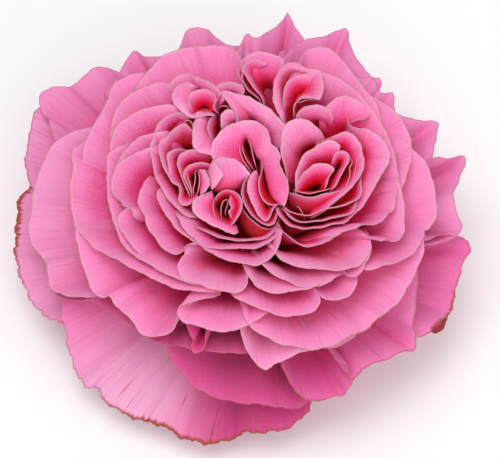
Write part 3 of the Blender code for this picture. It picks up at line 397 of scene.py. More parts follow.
# The lips under the quarters, lowest first
LIP_PETALS = {
    "lip_hook_left": Petal(
        ((-26, 14, 4), (-28, 11, 0.6), (-28.7, 7), (-27.2, 2), (-24.7, -2.6), (-21.5, -5.3),
         (-19.2, -5.8, -0.2), (-17.6, -5.2, -0.4), (-16.5, -4.6), (-15, -4, 2), (-12, -3, 6)),
        0.56, 34, flush=20, ruffle=0.25, wave=9),
    "lip_hook": Petal(
        ((-12, -3.6, 4), (-14.6, -4.4, 0.6), (-16.6, -5), (-16.6, -6.4), (-17.8, -8.2), (-18.4, -10),
         (-17.6, -12.2), (-15.3, -13.9), (-10, -15.5), (-5, -16.5), (-2.2, -15.5), (-1.2, -13, 0.2),
         (-1.4, -10.4, 1), (-1, -7, 5)),
        # Its pale is painted light on a face that lies in shade.
        0.5, 28, pale=0.15, flush=36, ruffle=0.25, wave=9),
    "lip_notch": Petal(
        ((-3, -7, 5), (-1.6, -9.8, 0.8), (0, -12), (2, -14.7), (5.3, -16.2), (10.3, -16.4), (14.4, -15.9),
         (18.5, -14, 0.4), (21, -11.6, 2), (22, -8, 6)),
        # Its pale is painted light on a face that lies in shade.
        0.46, 26, pale=0.15, flush=34),
    "lip_wide": Petal(
        ((0, -6, 5), (2.7, -8.6, 0.8), (5.3, -11.2), (8.6, -13.4), (12, -14.8), (16, -14.7), (20, -13.5),
         (22.4, -12.2, 0.6), (24.6, -11.4, 2.6), (26, -8, 9)),
        # Its pale is painted light on a face that lies in shade.
        0.5, 28, pale=0.15, flush=34),
    "lip_lobe": Petal(
        ((22, -6, 12), (24, -9.6, 4), (25.6, -12.3), (27, -12.6), (28.6, -11.6), (29.8, -9.6),
         (31.2, -6.4, 0.8), (31.6, -4, 3), (30, -1, 9)),
        0.46, 24, drop=0.2, flush=34),
    "lip_broad": Petal(
        ((4, -3.6, 4), (6.4, -6, 0.6), (8.4, -7.5), (11, -8.7), (14.4, -9.8), (19.3, -10.7), (22.6, -11),
         (25.9, -10.3), (29.1, -8.5), (30.8, -6, 0.4), (31.4, -3.6, 2), (30, 0, 8)),
        # Its pale is painted light on a face that lies in shade.
        0.56, 26, pale=0.15, flush=36),
    "lip_side": Petal(
        ((38, 14, 3.4), (38.2, 11, 0.8), (37.9, 8.1), (36.6, 5.3), (35.7, 4.4, 0.1), (35.4, 3.2), (34.5, 2.2),
         (33, 1.4), (30.7, 0.9), (28, 0.3), (25.4, -0.1), (23, -1.2, 0.4), (20, -2.8, 1.4), (16, -4, 5)),
        0.5, 30, drop=0.3, flush=22, ruffle=0.2, wave=8),
    "lip_middle": Petal(
        ((-20, 5, 4), (-18.6, 2.6, 0.6), (-15.6, -1), (-12.5, -4), (-9, -6.8), (-5, -8.7), (-1, -9.2),
         (2, -8.9), (4.6, -7.6), (6.4, -5.6), (7.6, -3.2), (8.5, -0.6)),
        0.62, 32, flush=20),
    "lip_dark": Petal(
        ((7.2, 1.4, 2), (8.6, -1, 0.7), (10, -2), (12, -3), (14, -3.6), (16, -3.9), (18, -3.6),
         (20.4, -2.6, 0.6), (23, -1.2, 1.2), (26, 0, 4)),
        0.66, 46, drop=0.5, flush=8),
    "lip_inner": Petal(
        ((-22.6, 11.6, 3), (-24, 9.6, 0.4), (-24.4, 8), (-23.6, 6), (-22, 3.8), (-19.8, 1.4), (-17.4, -0.8),
         (-14, -3), (-10, -4.8), (-4, -5.4), (2, -4.4), (5.6, -2.6, 0.6), (8, 0, 3)),
        0.68, 42, flush=14),
    "lip_inner_b": Petal(
        ((-16, 2, 4), (-13, 0.2, 0.6), (-9.4, -1.8, 0.3), (-4, -3, 0.3), (1, -2.6, 0.3), (4.4, -1.4, 0.6),
         (7, 0.8, 3)),
        0.74, 54, flush=8),
}

# The right quarter
RIGHT_QUARTER_PETALS = {
    "right_bowl": Petal(
        ((25.6, 29.2, 3), (26.3, 27.4, 1.6), (28.4, 26.3, 0.9), (31, 25.7, 0.5), (33.8, 23.9, 0.2),
         (35.6, 21.6, 0), (36.5, 19.2, 0), (35.6, 16.8, 0.1), (33.9, 13.5, 0.2), (32, 9.8, 0.4),
         (29.4, 6.8, 0.8), (26.6, 4.2, 1.4), (24, 1.2, 2.4)),
        0.6, 46, middle=RIGHT_QUARTER, flush=17, pale=0.05, well=(22, 13, 17, 0.5),
        lines=(
            ((25.4, 27, 6), (26.2, 25.4, 5), (27.6, 24.6, 4.2), (29.2, 23.9, 3.6), (30.8, 22.4, 3.2),
             (31.8, 20.6, 3), (32, 18.8, 3), (31.4, 16.8, 3.2), (30.6, 14.2, 3.6), (29.4, 11.2, 4),
             (27.4, 8.4, 4.8), (25, 6, 5.8), (22.8, 3.6, 7)),
        )),
    "right_bowl_fold": Petal(
        ((26, 27.4, 1.8), (27.3, 28, 1.2), (29.2, 29, 0.9), (31, 29.9, 0.9), (32.4, 30.4, 1.3)),
        0.5, 30, middle=(30, 24), flush=16, well=(30, 25, 9, 0.8)),
    "right_back": Petal(
        ((18, 30, 4), (19.6, 31.4, 2.4), (20.6, 32.7, 1.6), (22.2, 34.1, 1), (24.4, 34.6, 0.7),
         (27.2, 33.9, 0.7), (29.6, 32.4, 0.9), (31.4, 30.6, 1.3), (32.4, 28.4, 2)),
        0.55, 46, middle=RIGHT_QUARTER, flush=22, well=(23, 18, 17, 0.5),
        lines=(
            ((18, 27, 7), (19.2, 27.4, 6.4), (20.2, 27.8, 6), (21.4, 28.2, 5.6), (23, 28.2, 5.4),
             (25, 27.8, 5.4), (26.6, 27, 5.6), (28, 26, 6), (29, 25, 6.8)),
        )),
    "right_ring": Petal(
        ((17.2, 21.8, 3), (18.9, 22.7, 1.8), (21.2, 24.1, 1), (23.4, 25, 0.7), (25.2, 25.3, 0.5),
         (26.9, 24.6, 0.4), (28, 22.8, 0.4), (28.9, 20, 0.4), (29.5, 17.6, 0.5), (28.7, 15, 0.6),
         (27, 11.6, 0.9), (24, 8.2, 1.2), (21, 6.1, 1.5), (17.6, 4.3, 1.9), (15.5, 3.3, 2.4)),
        0.78, 60, middle=RIGHT_QUARTER, flush=8, well=(20, 13, 18, 0.5),
        lines=(
            ((17.6, 20, 6), (19, 20.8, 5.2), (21, 21.8, 4.6), (23, 22.4, 4), (24.6, 22.4, 3.6),
             (25.6, 21.8, 3.4), (26.2, 20.4, 3.4), (26.8, 18.6, 3.4), (27.2, 16.8, 3.4), (26.4, 14.6, 3.6),
             (24.8, 12, 4), (22.4, 9.6, 4.4), (20, 8, 5), (17.4, 6.8, 5.6), (15.8, 6.2, 6.4)),
        )),
    "right_left": Petal(
        ((11.1, 9, 2.8), (11.3, 10.9, 1.7), (11.8, 13.4, 1), (12.6, 16, 0.6), (14, 18.3, 0.4),
         (16, 20.3, 0.3), (18, 21.9, 0.2), (20.2, 22.8, 0.2), (22.1, 22.7, 0.3), (23.2, 21.8, 0.6),
         (23.1, 20.4, 1.1), (22.4, 18.8, 1.8)),
        0.84, 66, middle=RIGHT_QUARTER, flush=10, well=(18.6, 12, 15, 0.5),
        lines=(
            ((12.6, 9.6, 5.6), (13.1, 11.4, 4.8), (13.9, 13.4, 4.2), (15, 15.2, 4), (16.2, 16.8, 3.8),
             (17.6, 17.9, 3.8), (19, 18.4, 3.8), (20.2, 18.4, 4), (21.2, 18, 4.2), (21.8, 17.4, 4.6),
             (22, 16.8, 5), (22, 16, 5.6)),
        )),
    "right_middle": Petal(
        ((11.8, 8.8, 3.2), (12.4, 10.7, 2), (13.3, 13, 1.3), (14.6, 15.2, 0.9), (16.3, 16.7, 0.6),
         (18, 17.1, 0.5), (19.8, 16.8, 0.5), (21.4, 16.3, 0.6), (22.1, 15.6, 0.8), (21.5, 14.4, 1.2),
         (20.4, 12.5, 2), (19.3, 10.4, 3)),
        0.92, 70, middle=RIGHT_QUARTER, flush=9, well=(16.6, 9.4, 14, 0.5),
        lines=(
            ((13.2, 9.2, 6), (13.8, 10.2, 5.4), (14.6, 11.4, 5), (15.4, 12.4, 4.8), (16.4, 13, 4.6),
             (17.4, 13.2, 4.6), (18.2, 13.1, 4.7), (19, 12.8, 4.9), (19.4, 12.3, 5.3), (19.3, 11.6, 5.9),
             (19, 10.8, 6.5), (18.6, 10, 7.2)),
        )),
    "right_spoon": Petal(
        ((21.5, 16.8, 2.8), (22.3, 18.5, 1.5), (23.4, 19.8, 0.9), (24.6, 20.1, 0.6), (25.7, 19.3, 0.5),
         (25.8, 17.9, 0.6), (25, 16, 0.9), (24.1, 13.9, 1.3), (23, 12.2, 1.8), (21.6, 11.1, 2.5),
         (20.2, 10, 3.4)),
        0.94, 66, middle=(23, 15), flush=7, well=(22, 14, 14, 0.6),
        lines=(
            ((22.2, 16.2, 4.8), (22.7, 17.3, 4), (23.4, 18.1, 3.4), (24.1, 18.2, 3.1), (24.5, 17.6, 3),
             (24.3, 16.4, 3.2), (23.6, 15, 3.6), (22.9, 13.6, 4), (22, 12.5, 4.6), (21, 11.7, 5.4),
             (20.1, 10.9, 6.2)),
        )),
    "right_ribbon": Scrap(
        ((25.9, 18.8, 2.8), (26.5, 17.3, 1.8), (25.9, 15.9, 1.5), (26, 14.2, 1.6), (25.4, 12.2, 2),
         (24.3, 10.4, 2.6), (22.8, 9.4, 3.4)),
        0.92, 70, middle=(22, 14), flush=5, well=(24, 14, 12, 0.75)),
    "right_ribbon_outer": Scrap(
        ((27, 20, 3.4), (27.7, 17.9, 2.3), (27.4, 15.8, 2), (26.9, 13.4, 2.2), (25.8, 11.1, 2.7),
         (24.2, 9.1, 3.3), (22, 7.8, 4.2)),
        0.9, 70, middle=(22, 14), flush=6, well=(24, 14, 13, 0.75)),
    "right_lip": Scrap(
        ((9.6, 9.7, 2.6), (11.2, 9.2, 1.6), (13.2, 8.6, 1.1), (15.3, 8.3, 0.8), (17.3, 8.6, 0.8),
         (19.2, 9.2, 0.9), (21.6, 9.6, 1.3), (24, 10.2, 2), (26.4, 11.6, 3)),
        0.86, 76, middle=RIGHT_QUARTER, flush=6.5, well=(17, 4, 17, 0.7), ruffle=0.06,
        lines=(
            ((10.6, 5.4, 10), (12, 4.8, 9.6), (13.6, 4.3, 9.2), (15.4, 4, 9), (17.2, 4.3, 9), (18.8, 4.8, 9),
             (20.8, 5.4, 9.4), (22.8, 6.2, 10), (24.6, 7.4, 11)),
        )),
    "right_lip_inner": Scrap(
        ((11.2, 10.3, 3), (13.2, 9.6, 1.8), (15.6, 9.3, 1.4), (17.8, 9.7, 1.5), (20, 10.2, 2.1),
         (21.6, 10.8, 3)),
        0.9, 76, middle=RIGHT_QUARTER, flush=4, well=(17, 6, 14, 0.9), ruffle=0.04),
    "right_stub": Scrap(
        ((11.9, 5.9, 4), (12.6, 5.6, 3), (13.3, 4.7, 2.8), (13.9, 3.4, 3.2), (14.2, 2.4, 4)),
        0.8, 50, middle=(12, 4), flush=8, well=(12.6, 3.6, 10, 0.7), ruffle=0.02),
    "right_crescent_a": Petal(
        ((29.2, 13.6), (29.2, 11), (28.4, 8.8), (25, 7.1), (19.9, 5), (15.5, 3.4), (12, 3.8), (9.8, 5),
         (8.4, 6.6)),
        0.72, 60, 0.5, RIGHT_QUARTER, curl=0.1, flush=6),
    "right_crescent_b": Petal(
        ((28, 8), (26.4, 4.8), (22.4, 3.2), (18.3, 2), (15, 1.4), (12.4, 1.9), (10.2, 3.6), (8.2, 6)),
        0.68, 54, 0.7, RIGHT_QUARTER, curl=0.1, flush=7),
    "right_crescent_c": Petal(
        ((26.6, 5), (25, 1.9), (22, 0.8), (17.3, 0), (12.7, 0.7), (9.5, 2), (7.4, 3.8), (6.6, 6)),
        0.64, 50, 0.9, RIGHT_QUARTER, curl=0.1, flush=8),
}

# The upper right quarter
UPPER_RIGHT_PETALS = {
    "upper_right_back_front": Petal(
        ((11.4, 27, 3), (11.9, 29, 1.6), (12.8, 30.2, 1), (14.2, 31.3, 0.8), (16.2, 31.9, 0.7),
         (18.6, 31.7, 0.7), (20.9, 30.7, 1), (21.6, 28.6, 2)),
        0.66, 50, middle=RIGHT_QUARTER, flush=17, well=(17.4, 22, 15, 0.7),
        lines=(
            ((12.4, 26, 6), (12.8, 27, 5), (13.5, 28, 4.4), (14.6, 28.8, 4), (16.2, 29.2, 4), (18.2, 29, 4),
             (20.1, 28.2, 4.4), (20.8, 26.8, 5.4)),
        )),
    "upper_right_front": Petal(
        ((9.6, 12, 4.6), (8.8, 15.4, 3), (8, 18.6, 1.8), (8.3, 21.5, 1.5), (8.6, 24.4, 0.9), (9.3, 26.8, 0.5),
         (10.6, 28.2, 0.3), (12.4, 28.7, 0.2), (14.6, 28.3, 0.4), (16.8, 27.1, 0.9), (18.6, 25.4, 1.7),
         (19.4, 23.8, 3)),
        # Its deep is painted shade on its lower left, which lies in shade.
        0.7, 42, middle=RIGHT_QUARTER, flush=24, pale=0.1, deep=(0.4, 0.35, 0.1, 0, 0, 0, 0),
        well=(15.4, 17, 17, 0.6),
        lines=(
            ((11, 11.8, 7.4), (10.7, 14.6, 5.4), (10.6, 16.9, 4.4), (11, 18.8, 4), (11.7, 20.6, 4.2),
             (12.7, 22.1, 3.8), (13.9, 23, 3.6), (15.2, 23.5, 3.6), (16.5, 23.5, 3.8), (17.6, 23.3, 4.2),
             (18.5, 22.9, 4.8), (18.9, 22.3, 5.6)),
        )),
    "upper_right_outer": Petal(
        ((9.2, 26.5, 5), (8.2, 28.2, 3.6), (7, 30.6, 2.6), (6.1, 33.2, 1.8), (5.9, 36, 1.2), (6.2, 38.6, 0.8),
         (7, 40.7, 0.5), (8.4, 42.3, 0.4), (10.3, 43, 0.4), (12.4, 42.7, 0.5), (14.2, 41.7, 0.8),
         (15.3, 41.1, 1.2)),
        0.66, 40, middle=UPPER_RIGHT, flush=9, pale=0.15, well=(11.6, 32, 18, 0.45),
        lines=(
            ((9.4, 27.2, 8), (9, 29, 6.6), (8.7, 31, 5.6), (8.5, 33.2, 4.8), (8.5, 35.4, 4.2),
             (8.7, 37.4, 3.8), (9.3, 39, 3.4), (10.2, 40.1, 3.2), (11.4, 40.7, 3.2), (12.6, 40.7, 3.4),
             (13.8, 40.4, 3.6), (14.6, 40.2, 4)),
            ((9.2, 26.9, 5.4), (8.4, 28.6, 3.6), (7.5, 30.8, 2.4), (6.9, 33.3, 1.5), (6.8, 35.9, 0.9),
             (7.1, 38.3, 0.5), (7.8, 40.2, 0.2), (9, 41.6, 0.1), (10.5, 42.2, 0.2), (12.4, 42, 0.4),
             (14, 41.3, 0.8), (15, 40.8, 1.4)),
        )),
    "upper_right_inner": Petal(
        ((9.4, 27.4, 6), (9.1, 29.6, 4.4), (9, 32, 3.2), (9, 34.6, 2.4), (9.3, 37, 1.8), (10.1, 38.8, 1.4),
         (11.5, 39.7, 1.2), (13.2, 40, 1.2), (15.1, 40, 1.6), (16, 38.6, 3)),
        0.74, 66, middle=UPPER_RIGHT, flush=8, well=(12.8, 31, 17, 0.5),
        lines=(
            ((10.6, 28.4, 10), (10.6, 30, 9), (10.9, 31.8, 8), (11.2, 33.6, 7), (11.7, 35, 6.4),
             (12.4, 35.9, 6), (13.3, 36.4, 5.8), (14.2, 36.4, 5.6), (15, 36.2, 5.6), (15.4, 35.6, 6)),
        )),
    "upper_right_fold": Scrap(
        ((18.2, 41.2, 1.2), (18.7, 40.2, 0.6), (18.9, 38.2, 0.3), (18.9, 36.2, 0.2), (18.6, 34.5, 0.1),
         (18, 33.9, 0.2), (16.2, 34.1, 0.5), (14.4, 34.1, 0.7), (13, 33.7, 1), (11.8, 32.8, 1.5),
         (11.2, 31.4, 2)),
        0.78, 30, middle=(15, 38), flush=12, pale=0.05, well=(13.6, 33, 13, 0.3), curl=0.18, ruffle=0.16,
        lines=(
            ((17.6, 40.6, 2), (17.1, 39.4, 2.2), (16.4, 38, 2.4), (15.6, 36.7, 2.6), (14.9, 35.7, 2.8),
             (14.5, 35.2, 2.9), (14.1, 34.9, 3), (13.7, 34.6, 3.2), (13.2, 34.2, 3.6), (12.6, 33.4, 4.2),
             (12.2, 32.4, 5)),
        )),
    "upper_right_fold_low": Scrap(
        ((18.4, 33.4, 1.8), (16.6, 33.5, 1.7), (14.6, 33.2, 1.8), (13.1, 32.7, 2), (12, 33, 1.7),
         (11.3, 32, 1.8), (11.3, 30.5, 2.2), (11.7, 28.9, 3)),
        0.78, 60, middle=(15, 31), curl=0.1, flush=5, well=(15, 33, 16, 0.6), ruffle=0.16),
    "top_wall": Petal(
        ((-2.6, 43.6, 3), (-0.6, 45.2, 2), (2, 46, 1.6), (4.8, 45.8, 1.6), (7.4, 45, 1.8), (9, 43.6, 2.6)),
        0.5, 60, middle=(4, 39), flush=20, well=(5.4, 32, 17, 0.4), billow=0.15,
        lines=(
            ((1.4, 37.4, 8), (2.4, 38.6, 7.4), (3.6, 39.4, 7), (5, 39.4, 7), (6.2, 38.8, 7.4), (7, 37.6, 8)),
        )),
    "top_curl": Petal(
        ((4.1, 31.8, 4), (3.3, 33.8, 2.8), (2, 35.6, 2), (0.4, 37.4, 1.4), (-1.2, 39.3, 1), (-2.1, 40.9, 0.8),
         (-1.7, 42.3, 0.7), (-0.7, 43.3, 0.8), (0.8, 43.7, 1), (2.8, 43.4, 1.4), (4.8, 42.9, 2)),
        0.6, 40, middle=(4, 39), flush=11, well=(3.4, 36, 16, 0.4),
        lines=(
            ((4.7, 31.6, 9), (4.1, 33.2, 8), (3, 35, 7), (1.8, 36.8, 6), (0.8, 38.4, 5.4), (0.3, 39.8, 5),
             (0.3, 40.8, 4.6), (0.7, 41.5, 4.4), (1.4, 41.8, 4.2), (2.4, 41.8, 3.8), (3.4, 42, 3.4)),
        )),
    "top_curl_outer": Petal(
        ((2.9, 32.6, 4.4), (2.2, 33.7, 3.4), (0.8, 35.5, 2.6), (-0.9, 37.4, 2), (-2.3, 39.3, 1.6),
         (-2.9, 40.8, 1.4), (-2.4, 42.1, 1.6), (-1.6, 42.9, 2.4)),
        0.58, 46, middle=(4, 39), flush=5, well=(3.6, 36, 16, 0.5)),
}

# The upper left whorl
UPPER_LEFT_PETALS = {
    "centre_broad": Petal(
        ((-4.2, 26.6, 4), (-4.2, 28.6, 2.6), (-4.9, 31, 1.6), (-6.1, 33, 1), (-7, 34.4, 0.7),
         (-7.5, 35.7, 0.5), (-5.7, 35.7, 0.4), (-3, 35, 0.3), (0, 34.2, 0.2), (2.2, 33, 0.2),
         (4.2, 31.8, 0.3), (6.2, 29.9, 0.4), (8, 28.1, 0.6), (9, 26.5, 0.8), (9, 24, 1.6), (8.6, 21, 3)),
        0.7, 40, middle=(0, 22), flush=40, pale=0.06, well=(1.4, 22, 18, 0.45),
        lines=(
            ((-2.2, 25, 6), (-2, 26.4, 5.2), (-1.8, 27.8, 4.6), (-1.6, 29, 4), (-1.4, 29.8, 3.6),
             (-1, 30.4, 3.2), (-0.4, 30.6, 2.9), (0.4, 30.4, 2.7), (1.6, 29.9, 2.6), (2.8, 29.2, 2.5),
             (4, 28.2, 2.5), (5.1, 27.1, 2.6), (6, 25.9, 2.8), (6.6, 24.6, 3.2), (6.9, 22.8, 4),
             (7, 20.6, 5.4)),
            ((-3.3, 26.4, 3.8), (-3.3, 28.4, 2.2), (-3.9, 30.8, 1.2), (-4.9, 32.6, 0.7), (-5.8, 34.1, 0.4),
             (-6.5, 35.2, 0.4), (-5.3, 35.1, 0.6), (-2.8, 34.4, 0.7), (0, 33.6, 0.7), (2.1, 32.4, 0.7),
             (4, 31.2, 0.8), (5.9, 29.4, 0.9), (7.6, 27.7, 1), (8.5, 26.2, 1.2), (8.6, 24, 2),
             (8.3, 21, 3.4)),
        )),
    "upper_left_outer": Petal(
        ((-21.5, 36.4, 3), (-20.4, 38.2, 1.8), (-19.2, 39.5, 1), (-17.2, 40.3, 0.6), (-14.6, 39.6, 0.4),
         (-12, 39, 0.3), (-10, 38.1, 0.4), (-8.4, 36.8, 0.6), (-7.3, 35.3, 0.8), (-6.9, 33.4, 1.8)),
        0.62, 44, middle=UPPER_LEFT, flush=15, well=(-12.6, 30, 17, 0.4),
        lines=(
            ((-19, 34.4, 6), (-18.4, 36, 5), (-17.5, 37, 4.2), (-16, 37.6, 3.8), (-14, 37.4, 3.4),
             (-12.2, 36.8, 3.4), (-10.6, 35.8, 3.8), (-9.6, 34.4, 4.4), (-9, 32.8, 5), (-8.7, 31, 6)),
        )),
    "upper_left_loop": Petal(
        ((-13.7, 37.4, 2), (-15.4, 38.1, 1.1), (-17.4, 37.8, 0.7), (-19.1, 36.5), (-20.3, 34.4, 0.4),
         (-20, 32.9), (-18.4, 31.3), (-16.8, 30.1), (-15, 29.5), (-13, 29.7, 0.6), (-11.2, 30, 0.8),
         (-9.1, 29.5, 1.4)),
        0.7, 12, drop=0.5, middle=UPPER_LEFT, flush=22, pale=0.12, well=(-13, 32.6, 15, 0.5),
        lines=(
            ((-13.4, 36.2, 3.4), (-14.4, 36.2, 2.8), (-15.3, 35.6, 2.4), (-15.9, 34.8, 2.2),
             (-16.1, 33.8, 2.2), (-16, 32.8, 2.2), (-15.8, 31.8, 2.4), (-15.4, 30.8, 3), (-14.6, 30.1, 3.6),
             (-13.2, 30.2, 3.8), (-11.4, 30.4, 4), (-9.6, 30.1, 4.4)),
            ((-13.5, 36.9, 1.9), (-14.9, 37.2, 1.1), (-16.4, 36.9, 0.6), (-17.8, 35.9, 0.4),
             (-18.5, 34.3, 0.3), (-18.4, 33, 0.4), (-17.4, 31.8), (-16.2, 30.7, 0.8), (-14.9, 29.9, 1.2),
             (-13, 30, 1.4), (-11.3, 30.2, 1.6), (-9.3, 29.8, 2.2)),
        )),
    "upper_left_inner": Petal(
        ((-15.4, 30, 3.4), (-15.9, 31.8, 2.3), (-16, 33.4, 1.8), (-15.6, 34.8, 1.5), (-14.4, 35.8, 1.3),
         (-12.5, 36.3, 1.2), (-10.8, 36, 1.3), (-9.7, 34.6, 1.7), (-9.1, 32.8, 2.4), (-8.8, 31, 3.4)),
        0.78, 74, middle=UPPER_LEFT, curl=0.1, flush=8.5, well=(-11, 30.4, 15, 0.4),
        lines=(
            ((-14.4, 29.9, 7), (-14.6, 30.8, 6), (-14.5, 31.7, 5.4), (-14, 32.5, 5), (-13.2, 33, 5),
             (-12.2, 33.2, 5), (-11.2, 33, 5), (-10.5, 32.3, 5.4), (-10.1, 31.4, 6), (-9.8, 30.4, 7)),
        )),
    "upper_left_tip": Petal(
        ((-9.4, 36, 3), (-8.6, 37.3, 1.6), (-7.2, 38, 1), (-5.4, 38.1, 0.8), (-3.7, 37.7, 0.8),
         (-2.5, 36.9, 0.9), (-2, 35.8, 1.2), (-2.4, 34.7, 2)),
        0.66, 40, middle=(-5, 33), flush=14, well=(-5, 31.4, 12, 0.6),
        lines=(
            ((-8, 35.2, 4.4), (-7.4, 35.8, 3.8), (-6.6, 36.2, 3.4), (-5.6, 36.2, 3.2), (-4.6, 36, 3.2),
             (-3.8, 35.6, 3.4), (-3.4, 35, 3.6), (-3.4, 34.2, 4.2)),
        )),
    "upper_left_sliver": Petal(
        ((-8.2, 30, 3.4), (-8.9, 31, 2), (-8.8, 32.3, 1.3), (-8.1, 33.5, 0.9), (-7.4, 34.5, 0.8),
         (-6.6, 34.6, 1.2)),
        0.74, 40, middle=(-7, 32), curl=0.05, flush=7, pale=0.1, well=(-6.6, 31.6, 11, 0.6)),
    "upper_left_arc": Petal(
        ((-8.2, 30.4, 4.4), (-7.4, 31.1, 3.4), (-6.5, 31.4, 3), (-5.6, 31.2, 3.2), (-4.9, 30.6, 4.2)),
        0.78, 70, middle=(-6.5, 28), curl=0.05, flush=5, well=(-6.4, 27.6, 13, 0.8)),
    "upper_left_leaflet": Petal(
        ((-4.1, 29, 2.6), (-4.4, 30.7, 1.5), (-5.9, 31, 1.1), (-7.2, 30, 1), (-7.9, 28.3, 1.2),
         (-7.7, 26.4, 2), (-7, 25, 3.6)),
        0.76, 40, middle=(-5, 27), flush=14, pale=0.08, well=(-4.8, 24.6, 13, 0.5),
        lines=(
            ((-4.3, 27.4, 4.4), (-4.7, 28.4, 3.2), (-5.5, 28.7, 2.5), (-6.2, 28.2, 2.3), (-6.6, 27.2, 2.5),
             (-6.6, 26, 3.3), (-6.3, 25, 4.8)),
        )),
}

